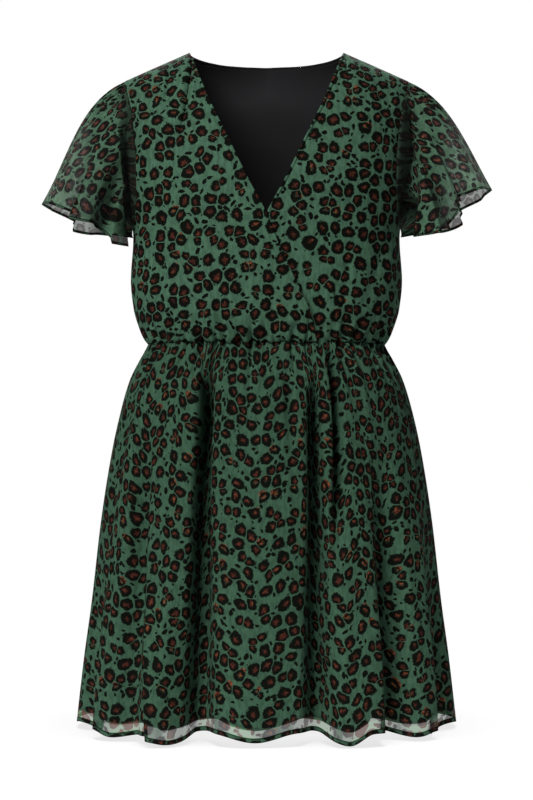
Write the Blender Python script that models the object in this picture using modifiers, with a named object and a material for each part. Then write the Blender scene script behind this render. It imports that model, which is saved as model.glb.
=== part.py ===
"""An a-line dress with a crossed V neck, short fluted sleeves and a gathered skirt.

It keeps the hollow form it has when worn, open at the neck, the cuffs and the hem.
The origin is the middle of the neck opening, level with the neck ends of the shoulder
seams. +X is the wearer's left, the front faces -Y and +Z is up. Sizes are in metres, and
angles in degrees unless a name or comment says radians.
"""

import math
from collections import namedtuple

import bmesh
import bpy
import numpy as np

# ---------------------------------------------------------------- driving dimensions

WALL = 0.0012           # thickness of the cloth
SEAM_GAP = 0.0003       # between two pieces that are sewn together
BODICE_SEAM_GAP = 0.0005    # between the middles of the walls, whose edges round over
WAIST_SEAM_GAP = 0.0012     # the same at the waist, where the walls flare from the seam

NECK_HALF = 0.108       # centre to the neck end of the shoulder seam
SHOULDER_HALF = 0.199   # centre to the sleeve end of the shoulder seam
SHOULDER_DROP = 0.039   # fall of the shoulder seam along its length
SHOULDER_Y = 0.010      # the shoulder seams lie this far behind the origin
FRONT_ROLL = 0.110      # height over which the front rounds over the shoulder
BACK_ROLL = 0.090       # the same for the back
BACK_NECK_DROP = 0.008  # the back neck below the shoulder seams
BACK_NECK_FLATNESS = 4  # exponent of the back neck's curve

UNDERARM_Z = -0.246
WAIST_Z = -0.408
HEM_Z = -0.937

SQUARENESS = 2.25       # exponent of the body's rounded sections, 2 is an ellipse

# The upper front stands off the lower one, fully from the second place across and the
# first height on, and not at all before the others.
OVERLAP_RISE = 0.0024
OVERLAP_ACROSS = (-0.150, -0.080)
OVERLAP_HEIGHTS = (-0.200, -0.110)

FRONT_GATHERS = 24      # gathers in the front of the waist seam
BACK_GATHERS = 22
GATHER_DEPTH = 0.0021   # half the height of a gather at the waist seam
GATHER_UNEVENNESS = 0.22
GATHER_BEAT = 2.3       # radians from one gather to the next in the wave of their heights
GATHER_DRIFT = 0.018    # radians round the waist by which the gathers crowd and spread
GATHER_DRIFT_WAVES = 3
PLAIN_GATHERS = 1.3     # they die away over this many gathers before a side seam
BODICE_GATHER_FADE = (0.008, 0.062)     # above the waist seam
SKIRT_GATHER_FADE = (0.010, 0.100)      # below the waist seam

FOLD_GROWTH = 0.34      # height over which a fold of the skirt comes to its depth
FOLD_TOP_SHARE = 0.55   # share of its depth that it has without the skirt's own length
PLEAT_GROWTH = 0.05     # the same two heights for a fold that dies away above the hem
PLEAT_DIE_AWAY = 0.14
HEM_LIFT = 0.25         # the hem rises in a valley by this share of the valley's depth

LINING_GAP = 0.0018     # middle of the skirt's cloth to middle of its lining, at the waist
LINING_FOLD_GAP = 0.0052    # the same, further down
LINING_HEM_RISE = 0.020     # the lining ends this far above the hem
BACK_LINING_GAP = 0.0045    # middle of the back's cloth to middle of its lining
BACK_LINING_NECK_GAP = 0.0027   # the same in the rows next to the neck
BACK_LINING_NECK_ROWS = 3
BACK_LINING_FOOT_Z = -0.385
LINING_NECK_INSET = 0.006   # the back lining's edge from the back's edge
LINING_ARMHOLE_INSET = 0.014

# ------------------------------------------------------------------------ the tables

Section = namedtuple("Section", "height half_width front back")

BODICE_SECTIONS = [
    Section(-0.408, 0.164, 0.112, 0.090),
    Section(-0.402, 0.169, 0.116, 0.093),
    Section(-0.388, 0.176, 0.121, 0.097),
    Section(-0.360, 0.185, 0.128, 0.101),
    Section(-0.320, 0.189, 0.133, 0.104),
    Section(-0.262, 0.1855, 0.137, 0.107),
    Section(-0.246, 0.1865, 0.137, 0.107),
    Section(-0.230, 0.190, 0.136, 0.108),
    Section(-0.200, 0.195, 0.134, 0.108),
    Section(-0.160, 0.199, 0.127, 0.106),
    Section(-0.110, 0.203, 0.115, 0.098),
    Section(-0.060, 0.205, 0.101, 0.087),
    Section(0.060, 0.206, 0.086, 0.072),
]

SKIRT_SECTIONS = [
    Section(-0.408, 0.164, 0.112, 0.090),
    Section(-0.416, 0.168, 0.116, 0.095),
    Section(-0.430, 0.176, 0.123, 0.103),
    Section(-0.458, 0.190, 0.132, 0.115),
    Section(-0.500, 0.203, 0.138, 0.128),
    Section(-0.556, 0.2155, 0.143, 0.136),
    Section(-0.654, 0.231, 0.149, 0.143),
    Section(-0.766, 0.244, 0.155, 0.149),
    Section(-0.850, 0.2555, 0.160, 0.154),
    Section(-0.950, 0.267, 0.165, 0.160),
]

# Distance of the armhole seam from the centre, in front and behind.
Armhole = namedtuple("Armhole", "height front back")

ARMHOLE = [
    Armhole(-0.246, 0.1865, 0.1865),
    Armhole(-0.232, 0.1800, 0.1830),
    Armhole(-0.205, 0.1765, 0.1820),
    Armhole(-0.160, 0.1780, 0.1850),
    Armhole(-0.110, 0.1830, 0.1900),
    Armhole(-0.070, 0.1900, 0.1950),
    Armhole(-0.039, 0.1990, 0.1990),
]

# The crossed edge of a front, seen from its own side: past the centre it is negative.
Edge = namedtuple("Edge", "height across")

FRONT_EDGE = [
    Edge(-0.408, -0.0680),
    Edge(-0.367, -0.0580),
    Edge(-0.325, -0.0380),
    Edge(-0.266, -0.0110),
    Edge(-0.238, 0.0000),
    Edge(-0.193, 0.0235),
    Edge(-0.127, 0.0550),
    Edge(-0.076, 0.0790),
    Edge(0.000, 0.1080),
]

# A fold of the skirt. Angles go round from the wearer's right side seam, 90 is the centre.
# rise is how far the cloth stands out at the hem, and is negative in a valley. width is
# half the fold's own angle. It starts to show at the height start and, where it dies away
# again, is gone at the height end. lean pushes the fold sideways, to the left if positive.
Fold = namedtuple("Fold", "top_angle hem_angle start end rise width lean")
THROUGH_HEM = -2.0

FRONT_FOLDS = [
    Fold(17.0, 20.0, -0.600, THROUGH_HEM, -0.028, 6.5, 0.3),
    Fold(43.0, 52.5, -0.560, THROUGH_HEM, -0.020, 4.4, 0.6),
    Fold(55.0, 61.0, -0.520, THROUGH_HEM, 0.024, 7.0, -0.1),
    Fold(66.5, 73.0, -0.425, THROUGH_HEM, -0.040, 6.4, -0.2),
    Fold(107.5, 102.5, -0.450, THROUGH_HEM, -0.036, 6.2, 0.1),
    Fold(122.5, 115.0, -0.415, -0.640, -0.011, 4.4, 0.0),
    Fold(121.0, 114.5, -0.560, THROUGH_HEM, 0.024, 7.0, 0.0),
    Fold(134.0, 128.5, -0.540, THROUGH_HEM, -0.032, 6.2, -0.3),
    Fold(142.0, 140.0, -0.600, THROUGH_HEM, 0.009, 6.0, 0.1),
    Fold(163.0, 160.0, -0.600, THROUGH_HEM, -0.028, 6.5, -0.3),
]

BACK_FOLDS = [
    Fold(22.0, 24.0, -0.580, THROUGH_HEM, -0.024, 6.2, 0.2),
    Fold(46.0, 49.0, -0.470, THROUGH_HEM, -0.034, 5.8, -0.2),
    Fold(60.0, 61.5, -0.560, THROUGH_HEM, 0.014, 6.4, 0.0),
    Fold(72.0, 74.0, -0.520, THROUGH_HEM, -0.026, 5.4, 0.2),
    Fold(97.0, 95.0, -0.440, THROUGH_HEM, -0.038, 6.4, -0.2),
    Fold(112.0, 110.0, -0.560, THROUGH_HEM, 0.015, 6.6, 0.0),
    Fold(124.0, 121.0, -0.490, THROUGH_HEM, -0.030, 5.4, 0.3),
    Fold(154.0, 151.0, -0.600, THROUGH_HEM, -0.026, 6.4, -0.2),
]

# The mouth of each sleeve, row by row over the crests and valleys of its flutes. The angle
# goes round from the outer tip, over the front (90), the side next to the body (180) and
# the back (270). out is how far the cloth stands outside a plain oval, aside how far it is
# pushed on round the oval, and height is the hem's.
Cuff = namedtuple("Cuff", "angle out aside height")

RIGHT_CUFF = [
    Cuff(0.0, 0.000, 0.000, -0.2116),
    Cuff(26.0, -0.003, 0.000, -0.2140),
    Cuff(48.0, 0.002, 0.000, -0.2190),
    Cuff(73.0, -0.020, 0.006, -0.2230),
    Cuff(90.0, 0.004, -0.006, -0.2370),
    Cuff(120.0, -0.015, 0.004, -0.2470),
    Cuff(138.0, 0.008, -0.009, -0.2730),
    Cuff(157.0, 0.009, 0.004, -0.2725),
    Cuff(172.0, -0.004, 0.000, -0.2600),
    Cuff(188.0, -0.003, 0.000, -0.2540),
    Cuff(206.0, 0.003, 0.000, -0.2520),
    Cuff(226.0, -0.015, 0.000, -0.2500),
    Cuff(244.0, 0.003, 0.002, -0.2490),
    Cuff(262.0, -0.014, 0.000, -0.2460),
    Cuff(281.0, 0.005, 0.013, -0.2450),
    Cuff(300.0, -0.018, -0.003, -0.2230),
    Cuff(322.0, 0.001, 0.000, -0.2180),
    Cuff(340.0, -0.004, 0.000, -0.2135),
    Cuff(360.0, 0.000, 0.000, -0.2116),
]

LEFT_CUFF = [
    Cuff(0.0, 0.001, 0.000, -0.1920),
    Cuff(28.0, -0.003, 0.000, -0.1950),
    Cuff(52.0, 0.002, 0.000, -0.1985),
    Cuff(67.0, -0.018, 0.001, -0.2020),
    Cuff(86.0, 0.004, -0.010, -0.2340),
    Cuff(106.0, -0.018, 0.004, -0.2420),
    Cuff(122.0, 0.008, -0.010, -0.2625),
    Cuff(138.0, 0.006, 0.004, -0.2625),
    Cuff(157.0, -0.018, 0.000, -0.2570),
    Cuff(184.0, -0.004, 0.000, -0.2550),
    Cuff(208.0, 0.003, 0.000, -0.2520),
    Cuff(228.0, -0.015, 0.000, -0.2480),
    Cuff(246.0, 0.003, 0.002, -0.2460),
    Cuff(264.0, -0.014, 0.000, -0.2430),
    Cuff(285.0, 0.006, 0.014, -0.2385),
    Cuff(302.0, -0.018, -0.003, -0.2080),
    Cuff(326.0, 0.001, 0.000, -0.2020),
    Cuff(342.0, -0.003, 0.000, -0.1950),
    Cuff(360.0, 0.001, 0.000, -0.1920),
]

# The plain oval of a sleeve's mouth, on the wearer's left.
CUFF_CENTRE_X = 0.256
CUFF_CENTRE_Y = 0.004
CUFF_HALF_WIDTH = 0.0595
CUFF_HALF_DEPTH = 0.086

# The cloth leaves the armhole and comes to the mouth in these directions, outwards and
# upwards, at the top and at the underarm; spread is the part to the front and the back.
Direction = namedtuple("Direction", "top_out top_up under_out under_up spread")
SLEEVE_LEAVES = Direction(0.93, -0.36, 0.75, -0.10, 0.60)
SLEEVE_ARRIVES = Direction(0.52, -0.88, 0.10, -0.88, 0.22)
SLEEVE_FULLNESS = 0.75      # how far it keeps the first direction
SLEEVE_HEAD_FULLNESS = 0.22     # and how much further at the head
SLEEVE_HANG = 0.42      # how far the flutes run back up towards the shoulder, in radians
SLEEVE_SEAM_GAP = 0.0010    # between the middles of the walls
UNDERARM_EXTRA_GAP = 0.0009
FLUTE_GROWTH = 1.5      # exponent of the flutes' growth from the armhole to the mouth
SLEEVE_HEAD_GATHERS = 9     # to each side of the shoulder
SLEEVE_GATHER_DEPTH = 0.0026
SLEEVE_GATHER_RISE = (0.0, 0.06)    # shares of the sleeve's length from the armhole
SLEEVE_GATHER_FADE = (0.12, 0.42)
SLEEVE_GATHER_SPREAD = (0.70, 1.05)     # shares of the head's reach from the shoulder

# How finely each piece is divided.
POINTS_PER_GATHER = 4
FINE_ROWS = [0.0, 0.014, 0.034]      # above the waist seam, where the gathers show
SKIRT_FINE_ROWS = [0.0, 0.010, 0.028]    # below the waist seam
SKIRT_COARSE_HEIGHTS = [-0.462, -0.515, -0.590, -0.680, -0.775, -0.865, HEM_Z]
LINING_HEIGHTS = [-0.412, -0.436, -0.462, -0.515, -0.590, -0.680, -0.810, HEM_Z]
SIDE_HEIGHTS = [-0.340, -0.298, UNDERARM_Z]
SHOULDER_STEPS = [0.05, 0.14, 0.30, 0.48, 0.66, 0.82, 0.94, 1.0]
FRONT_COLUMNS = 17
BACK_COLUMNS = 26
BACK_SHOULDER_COLUMN = 7
SLEEVE_STEPS = [0.0, 0.05, 0.15, 0.32, 0.54, 0.77, 1.0]
SLEEVE_FINE_STEPS = 3
SLEEVE_HEAD = 75.0      # the gathered head reaches this far to each side of the shoulder
SLEEVE_FINE_COLUMNS = 30
SLEEVE_HEAD_COLUMNS = 20
SLEEVE_UNDER_COLUMNS = 34

GREEN = (0.150, 0.245, 0.170, 1.0)
BLACK = (0.012, 0.012, 0.013, 1.0)


# --------------------------------------------------------------------- plain helpers

def ease(low, high, value):
    """0 below low, 1 above high, and a smooth step between them."""
    t = np.clip((np.asarray(value, dtype=float) - low) / (high - low), 0.0, 1.0)
    return t * t * (3.0 - 2.0 * t)


def read(table, column, at, by="height"):
    """One column of a table at the given heights, along a smooth curve with no overshoot."""
    knots = np.array([getattr(row, by) for row in table])
    values = np.array([getattr(row, column) for row in table])
    order = np.argsort(knots)
    knots = knots[order]
    values = values[order]
    steps = np.diff(knots)
    slopes = np.diff(values) / steps
    before = slopes[:-1]
    after = slopes[1:]
    same_way = before * after > 0.0
    total = np.where(same_way, before + after, 1.0)
    tangents = np.concatenate((
        slopes[:1],
        np.where(same_way, 2.0 * before * after / total, 0.0),
        slopes[-1:],
    ))
    at = np.clip(np.asarray(at, dtype=float), knots[0], knots[-1])
    index = np.clip(np.searchsorted(knots, at, side="right") - 1, 0, len(steps) - 1)
    step = steps[index]
    t = (at - knots[index]) / step
    return (
        (1.0 + 2.0 * t) * (1.0 - t) ** 2 * values[index]
        + t * (1.0 - t) ** 2 * step * tangents[index]
        + t * t * (3.0 - 2.0 * t) * values[index + 1]
        + t * t * (t - 1.0) * step * tangents[index + 1]
    )


def unit(vectors):
    return vectors / np.linalg.norm(vectors, axis=-1, keepdims=True)


def moved_out(grid, distance):
    """A grid of points (row, column, xyz) moved along its own normals, away from the axis."""
    along_rows = np.gradient(grid, axis=0)
    along_columns = np.gradient(grid, axis=1)
    normals = unit(np.cross(along_rows, along_columns))
    middle = grid.shape[0] // 2, grid.shape[1] // 2
    if np.dot(normals[middle][:2], grid[middle][:2]) < 0.0:
        normals = -normals
    return grid + normals * np.reshape(distance, (-1, 1, 1))


# ------------------------------------------------------------------ the body's form

def gather_angle(gather, count):
    """Angle round the waist, in radians, of a gather's number; they are not quite even."""
    even = math.pi * gather / count
    return even + GATHER_DRIFT * np.sin(2.0 * GATHER_DRIFT_WAVES * even)


def gather_number(angle, count):
    """The gather's number at an angle in radians."""
    numbers = np.linspace(0.0, count, 40 * count + 1)
    return np.interp(angle, gather_angle(numbers, count), numbers)


def gather_wave(gather, count):
    """How far the gathers stand out: uneven in height, and flat at the side seams."""
    uneven = 1.0 - GATHER_UNEVENNESS * (1.0 - np.sin(GATHER_BEAT * gather))
    flat = ease(0.0, PLAIN_GATHERS, gather) * ease(0.0, PLAIN_GATHERS, count - gather)
    return -GATHER_DEPTH * uneven * flat * np.cos(2.0 * math.pi * gather)


def rounded(across):
    """Depth of a rounded section of unit size at a distance across from its centre."""
    inside = np.clip(1.0 - np.abs(across) ** SQUARENESS, 0.0, 1.0)
    return inside ** (1.0 / SQUARENESS)


def shoulder_line(x):
    """Height of the shoulder seam's line above or below the origin."""
    return (NECK_HALF - np.abs(x)) * SHOULDER_DROP / (SHOULDER_HALF - NECK_HALF)


def bodice_points(x, z, face):
    """Points of the bodice's form; face is -1 in front and 1 behind."""
    half_width = read(BODICE_SECTIONS, "half_width", z)
    if face < 0:
        depth = read(BODICE_SECTIONS, "front", z)
        roll = FRONT_ROLL
    else:
        depth = read(BODICE_SECTIONS, "back", z)
        roll = BACK_ROLL
    full = face * depth * rounded(x / half_width)
    fall = np.clip((shoulder_line(x) - z) / roll, 0.0, 1.0)
    y = SHOULDER_Y + (full - SHOULDER_Y) * np.sqrt(1.0 - (1.0 - fall) ** 2)
    return np.stack((x, y, z), axis=-1)


def push_outwards(points, half_width, depth, distance):
    """Points moved level, square to the section that they lie on."""
    x = points[..., 0]
    y = points[..., 1]
    normal = np.stack((x / half_width ** 2, y / depth ** 2, np.zeros_like(x)), axis=-1)
    normal /= np.maximum(np.linalg.norm(normal, axis=-1, keepdims=True), 1e-9)
    return points + normal * np.asarray(distance)[..., None]


def gathered_bodice_points(x, z, gather, count, face):
    """Points of the bodice just above the waist seam, where it is gathered."""
    points = bodice_points(x, z, face)
    half_width = read(BODICE_SECTIONS, "half_width", z)
    depth = read(BODICE_SECTIONS, "front" if face < 0 else "back", z)
    fade = 1.0 - ease(*BODICE_GATHER_FADE, z - WAIST_Z)
    return push_outwards(points, half_width, depth, gather_wave(gather, count) * fade)


# ------------------------------------------------------------------------ the bodice

def overlap_rise(x, z):
    """The upper front stands off the lower one only where they cross."""
    return OVERLAP_RISE * ease(*OVERLAP_ACROSS, x) * (1.0 - ease(*OVERLAP_HEIGHTS, z))


def front_rows(side):
    """Rows of a front, waist to shoulder; side -1 is the wearer's right, which is on top."""
    rows = []

    def add(x, z, points):
        if side < 0:
            points = points + np.stack((0.0 * x, -overlap_rise(x, z), 0.0 * x), axis=-1)
        keys = np.arccos(np.clip(side * x / read(BODICE_SECTIONS, "half_width", z), -1, 1))
        rows.append((keys, points + np.array((0.0, -BODICE_SEAM_GAP, WAIST_SEAM_GAP)) / 2))

    for rise in FINE_ROWS:
        z_level = WAIST_Z + rise
        half_width = float(read(BODICE_SECTIONS, "half_width", z_level))
        last = math.acos(float(read(FRONT_EDGE, "across", z_level)) / half_width)
        last_gather = float(gather_number(last, FRONT_GATHERS))
        whole = math.ceil(last_gather * POINTS_PER_GATHER) - 1
        own = np.append(np.arange(whole + 1) / POINTS_PER_GATHER, last_gather)
        x = side * half_width * np.cos(gather_angle(own, FRONT_GATHERS))
        z = np.full_like(x, z_level)
        gather = own if side < 0 else FRONT_GATHERS - own
        add(x, z, gathered_bodice_points(x, z, gather, FRONT_GATHERS, -1))

    levels = [(z, z) for z in SIDE_HEIGHTS]
    for step in SHOULDER_STEPS:
        climb = math.sin(step * math.pi / 2)
        outer = UNDERARM_Z + (-SHOULDER_DROP - UNDERARM_Z) * climb
        levels.append((outer, UNDERARM_Z * (1.0 - climb)))
    for outer_z, inner_z in levels:
        if outer_z <= UNDERARM_Z:
            outer_x = float(read(BODICE_SECTIONS, "half_width", outer_z))
        else:
            outer_x = float(read(ARMHOLE, "front", outer_z))
        inner_x = float(read(FRONT_EDGE, "across", inner_z))
        first = math.acos(outer_x / float(read(BODICE_SECTIONS, "half_width", outer_z)))
        last = math.acos(inner_x / float(read(BODICE_SECTIONS, "half_width", inner_z)))
        cosines = np.cos(np.linspace(first, last, FRONT_COLUMNS + 1))
        part = (cosines[0] - cosines) / (cosines[0] - cosines[-1])
        x = side * (outer_x + (inner_x - outer_x) * part)
        z = outer_z + (inner_z - outer_z) * part
        add(x, z, bodice_points(x, z, -1))
    return rows


def back_top(x):
    """Height of the back's upper edge: shoulder seams and the shallow back neck."""
    neck = -BACK_NECK_DROP * (1.0 - (np.abs(x) / NECK_HALF) ** BACK_NECK_FLATNESS)
    return np.where(np.abs(x) > NECK_HALF, shoulder_line(x), neck)


def back_grid(heights, edge_inset, top_inset):
    """Rows of the back with even columns, from the given heights up to the shoulders."""
    rows = []
    steps = [0.0] * len(heights) + SHOULDER_STEPS
    levels = list(heights) + [UNDERARM_Z] * len(SHOULDER_STEPS)
    columns = np.arange(BACK_COLUMNS // 2 + 1)
    for level, step in zip(levels, steps):
        climb = math.sin(step * math.pi / 2)
        edge_z = level + (-SHOULDER_DROP - level) * climb
        half_width = float(read(BODICE_SECTIONS, "half_width", edge_z))
        if edge_z <= UNDERARM_Z:
            edge_x = half_width - edge_inset
        else:
            edge_x = float(read(ARMHOLE, "back", edge_z)) - edge_inset
        first = math.acos(edge_x / half_width)
        even = first + (math.pi / 2 - first) * 2 * BACK_SHOULDER_COLUMN / BACK_COLUMNS
        neck = math.acos(NECK_HALF / half_width)
        turn = even + (neck - even) * climb
        angles = np.interp(
            columns, (0, BACK_SHOULDER_COLUMN, BACK_COLUMNS / 2), (first, turn, math.pi / 2)
        )
        x = half_width * np.cos(angles)
        x = np.concatenate((-x, x[-2::-1]))
        z = level + (back_top(x) - top_inset - level) * climb
        rows.append(bodice_points(x, z, 1))
    return np.array(rows)


def back_rows():
    """Rows of the back, waist to shoulder."""
    shift = np.array((0.0, BODICE_SEAM_GAP, WAIST_SEAM_GAP)) / 2
    rows = []
    for rise in FINE_ROWS:
        gather = np.arange(BACK_GATHERS * POINTS_PER_GATHER + 1) / POINTS_PER_GATHER
        angle = gather_angle(gather, BACK_GATHERS)
        half_width = float(read(BODICE_SECTIONS, "half_width", WAIST_Z + rise))
        x = -half_width * np.cos(angle)
        z = np.full_like(x, WAIST_Z + rise)
        rows.append((angle, gathered_bodice_points(x, z, gather, BACK_GATHERS, 1) + shift))
    for points in back_grid(SIDE_HEIGHTS, 0.0, 0.0):
        half_width = read(BODICE_SECTIONS, "half_width", points[:, 2])
        keys = np.arccos(np.clip(-points[:, 0] / half_width, -1, 1))
        rows.append((keys, points + shift))
    return rows


def back_lining_rows():
    """Rows of the black lining of the back, inside it and clear of its edges."""
    heights = [BACK_LINING_FOOT_Z] + SIDE_HEIGHTS
    grid = back_grid(heights, LINING_ARMHOLE_INSET, LINING_NECK_INSET)
    gaps = np.full(len(grid), BACK_LINING_GAP)
    gaps[-BACK_LINING_NECK_ROWS:] = BACK_LINING_NECK_GAP
    inside = moved_out(grid, -gaps)
    return [(np.arange(len(row)), row) for row in inside]


# ------------------------------------------------------------------------- the skirt

def fold_shift(folds, angle, z):
    """How far the folds move the cloth outwards and sideways, at an angle in degrees."""
    out = np.zeros_like(angle)
    aside = np.zeros_like(angle)
    reach = (WAIST_Z - z) / (WAIST_Z - HEM_Z)
    for fold in folds:
        centre = fold.top_angle + (fold.hem_angle - fold.top_angle) * reach
        if fold.end == THROUGH_HEM:
            depth = ease(-fold.start, FOLD_GROWTH - fold.start, -z)
            depth = depth * (FOLD_TOP_SHARE + (1.0 - FOLD_TOP_SHARE) * reach)
        else:
            depth = ease(-fold.start, PLEAT_GROWTH - fold.start, -z)
            depth = depth * (1.0 - ease(-fold.end - PLEAT_DIE_AWAY, -fold.end, -z))
        shape = np.exp(-((angle - centre) / fold.width) ** 2)
        out = out + fold.rise * depth * shape
        aside = aside + fold.lean * abs(fold.rise) * depth * shape
    return out, aside


def skirt_points(gather, z, count, face, folds):
    """Points of the skirt at gathers' numbers and at heights before the hem's own rise."""
    angle = gather_angle(gather, count)
    half_width = read(SKIRT_SECTIONS, "half_width", z)
    depth = read(SKIRT_SECTIONS, "front" if face < 0 else "back", z)
    x = -half_width * np.cos(angle)
    y = face * depth * rounded(np.cos(angle))
    out, aside = fold_shift(folds, np.degrees(angle), z)
    fade = 1.0 - ease(*SKIRT_GATHER_FADE, WAIST_Z - z)
    wave = gather_wave(gather, count) * fade
    reach = (WAIST_Z - z) / (WAIST_Z - HEM_Z)
    lift = HEM_LIFT * np.maximum(-out, 0.0) * reach ** 2
    points = push_outwards(np.stack((x, y, z + lift), axis=-1), half_width, depth, out + wave)
    points[..., 0] += aside
    return points + np.array((0.0, face * SEAM_GAP, -WAIST_SEAM_GAP)) / 2


def skirt_rows(count, face, folds):
    """Rows of a skirt's half, waist to hem, fine in the gathers and coarser below."""
    fine = np.arange(count * POINTS_PER_GATHER + 1) / POINTS_PER_GATHER
    coarse = fine[::2]
    rows = []
    for drop in SKIRT_FINE_ROWS:
        z = np.full_like(fine, WAIST_Z - drop)
        rows.append((fine, skirt_points(fine, z, count, face, folds)))
    for height in SKIRT_COARSE_HEIGHTS:
        z = np.full_like(coarse, height)
        rows.append((coarse, skirt_points(coarse, z, count, face, folds)))
    return rows


def skirt_lining_rows(count, face, folds):
    """Rows of a skirt's lining: the skirt's own points, moved in, and shorter."""
    coarse = np.arange(count * POINTS_PER_GATHER + 1)[::2] / POINTS_PER_GATHER
    grid = np.array([
        skirt_points(coarse, np.full_like(coarse, height), count, face, folds)
        for height in LINING_HEIGHTS
    ])
    last = LINING_HEIGHTS[-1] - LINING_HEIGHTS[-2]
    keep = 1.0 + LINING_HEM_RISE / last
    grid[-1] = grid[-2] + (grid[-1] - grid[-2]) * keep
    gaps = np.full(len(grid), LINING_FOLD_GAP)
    gaps[0] = LINING_GAP
    inside = moved_out(grid, -gaps)
    inside[:, 0, 1] = grid[:, 0, 1]
    inside[:, -1, 1] = grid[:, -1, 1]
    return [(coarse, row) for row in inside]


# ----------------------------------------------------------------------- the sleeves

def armhole_points(angle):
    """The armhole seam on the wearer's left, at angles in radians round the sleeve."""
    drop = (1.0 - np.cos(angle)) / 2
    z = -SHOULDER_DROP + (UNDERARM_Z + SHOULDER_DROP) * drop
    in_front = bodice_points(read(ARMHOLE, "front", z), z, -1)
    behind = bodice_points(read(ARMHOLE, "back", z), z, 1)
    return np.where((np.sin(angle) >= 0.0)[..., None], in_front, behind)


def cuff_points(angle, cuff):
    """The mouth of the sleeve on the wearer's left, before its flutes stand out."""
    x = CUFF_CENTRE_X + CUFF_HALF_WIDTH * np.cos(angle)
    y = CUFF_CENTRE_Y - CUFF_HALF_DEPTH * np.sin(angle)
    z = read(cuff, "height", np.degrees(angle) % 360.0, by="angle")
    return np.stack((x, y, z), axis=-1)


def sleeve_direction(direction, angle):
    """Unit vectors of one of the sleeve's directions, at angles in radians round it."""
    top = (1.0 + np.cos(angle)) / 2
    out = direction.under_out + (direction.top_out - direction.under_out) * top
    up = direction.under_up + (direction.top_up - direction.under_up) * top
    return unit(np.stack((out, -direction.spread * np.sin(angle), up), axis=-1))


def plain_sleeve(angle, along, cuff):
    """The sleeve's form with no flutes; along runs from 0 at the armhole to 1 at the cuff."""
    leave = sleeve_direction(SLEEVE_LEAVES, angle)
    arrive = sleeve_direction(SLEEVE_ARRIVES, angle)
    top = (1.0 + np.cos(angle)) / 2
    gap = SLEEVE_SEAM_GAP + UNDERARM_EXTRA_GAP * (1.0 - top) ** 3
    start = armhole_points(angle - SLEEVE_HANG * np.sin(angle)) + leave * gap[..., None]
    end = cuff_points(angle, cuff)
    length = np.linalg.norm(end - start, axis=-1)[..., None]
    fullness = (SLEEVE_FULLNESS + SLEEVE_HEAD_FULLNESS * top ** 4)[..., None]
    t = along[..., None]
    return (
        (1.0 + 2.0 * t) * (1.0 - t) ** 2 * start
        + t * (1.0 - t) ** 2 * length * fullness * leave
        + t * t * (3.0 - 2.0 * t) * end
        + t * t * (t - 1.0) * length * arrive
    )


def sleeve_points(angle, along, cuff):
    """Points of the sleeve on the wearer's left, with its head gathers and its flutes."""
    step = 0.002
    points = plain_sleeve(angle, along, cuff)
    round_it = plain_sleeve(angle + step, along, cuff) - plain_sleeve(angle - step, along, cuff)
    down_it = plain_sleeve(angle, along + step, cuff) - plain_sleeve(angle, along - step, cuff)
    normal = unit(np.cross(round_it, down_it))
    from_top = np.degrees(np.abs((angle + math.pi) % (2 * math.pi) - math.pi))
    head = ease(*SLEEVE_GATHER_RISE, along) * (1.0 - ease(*SLEEVE_GATHER_FADE, along))
    head = head * (1.0 - ease(*SLEEVE_GATHER_SPREAD, from_top / SLEEVE_HEAD))
    gathers = SLEEVE_GATHER_DEPTH * head * np.cos(
        math.pi * SLEEVE_HEAD_GATHERS * from_top / SLEEVE_HEAD
    )
    turn = np.degrees(angle) % 360.0
    grow = np.clip(along, 0.0, 1.0) ** FLUTE_GROWTH
    out = gathers + grow * read(cuff, "out", turn, by="angle")
    aside = grow * read(cuff, "aside", turn, by="angle")
    return points + normal * out[..., None] + unit(round_it) * aside[..., None]


def sleeve_rows(side, cuff):
    """Rings of a sleeve, armhole to cuff; the rings near its gathered head are finer."""
    rows = []
    under = np.linspace(SLEEVE_HEAD, 360.0 - SLEEVE_HEAD, SLEEVE_UNDER_COLUMNS + 1)[1:-1]
    for number, along in enumerate(SLEEVE_STEPS):
        fine = number < SLEEVE_FINE_STEPS
        columns = SLEEVE_FINE_COLUMNS if fine else SLEEVE_HEAD_COLUMNS
        over = np.linspace(-SLEEVE_HEAD, SLEEVE_HEAD, columns + 1)
        angles = np.radians(np.concatenate((over, under)))
        points = sleeve_points(angles, np.full_like(angles, along), cuff)
        points[:, 0] *= side
        rows.append((angles, points))
    return rows


# ------------------------------------------------------------- turning rows into cloth

def add_band(mesh, lower, upper, closed):
    """Faces between two rows of (keys, vertices), matched by their keys."""
    lower_keys, lower_verts = lower
    upper_keys, upper_verts = upper
    if closed:
        turn = 2 * math.pi
        lower_keys = np.append(lower_keys, lower_keys[0] + turn)
        upper_keys = np.append(upper_keys, upper_keys[0] + turn)
        lower_verts = lower_verts + lower_verts[:1]
        upper_verts = upper_verts + upper_verts[:1]
    if len(lower_verts) == len(upper_verts):
        for i in range(len(lower_verts) - 1):
            mesh.faces.new((lower_verts[i], lower_verts[i + 1], upper_verts[i + 1]))
            mesh.faces.new((lower_verts[i], upper_verts[i + 1], upper_verts[i]))
        return
    i = 0
    j = 0
    while i < len(lower_verts) - 1 or j < len(upper_verts) - 1:
        step_lower = j == len(upper_verts) - 1
        if not step_lower and i < len(lower_verts) - 1:
            step_lower = lower_keys[i + 1] + lower_keys[i] <= upper_keys[j + 1] + upper_keys[j]
        if step_lower:
            mesh.faces.new((lower_verts[i], lower_verts[i + 1], upper_verts[j]))
            i += 1
        else:
            mesh.faces.new((lower_verts[i], upper_verts[j + 1], upper_verts[j]))
            j += 1


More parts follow.
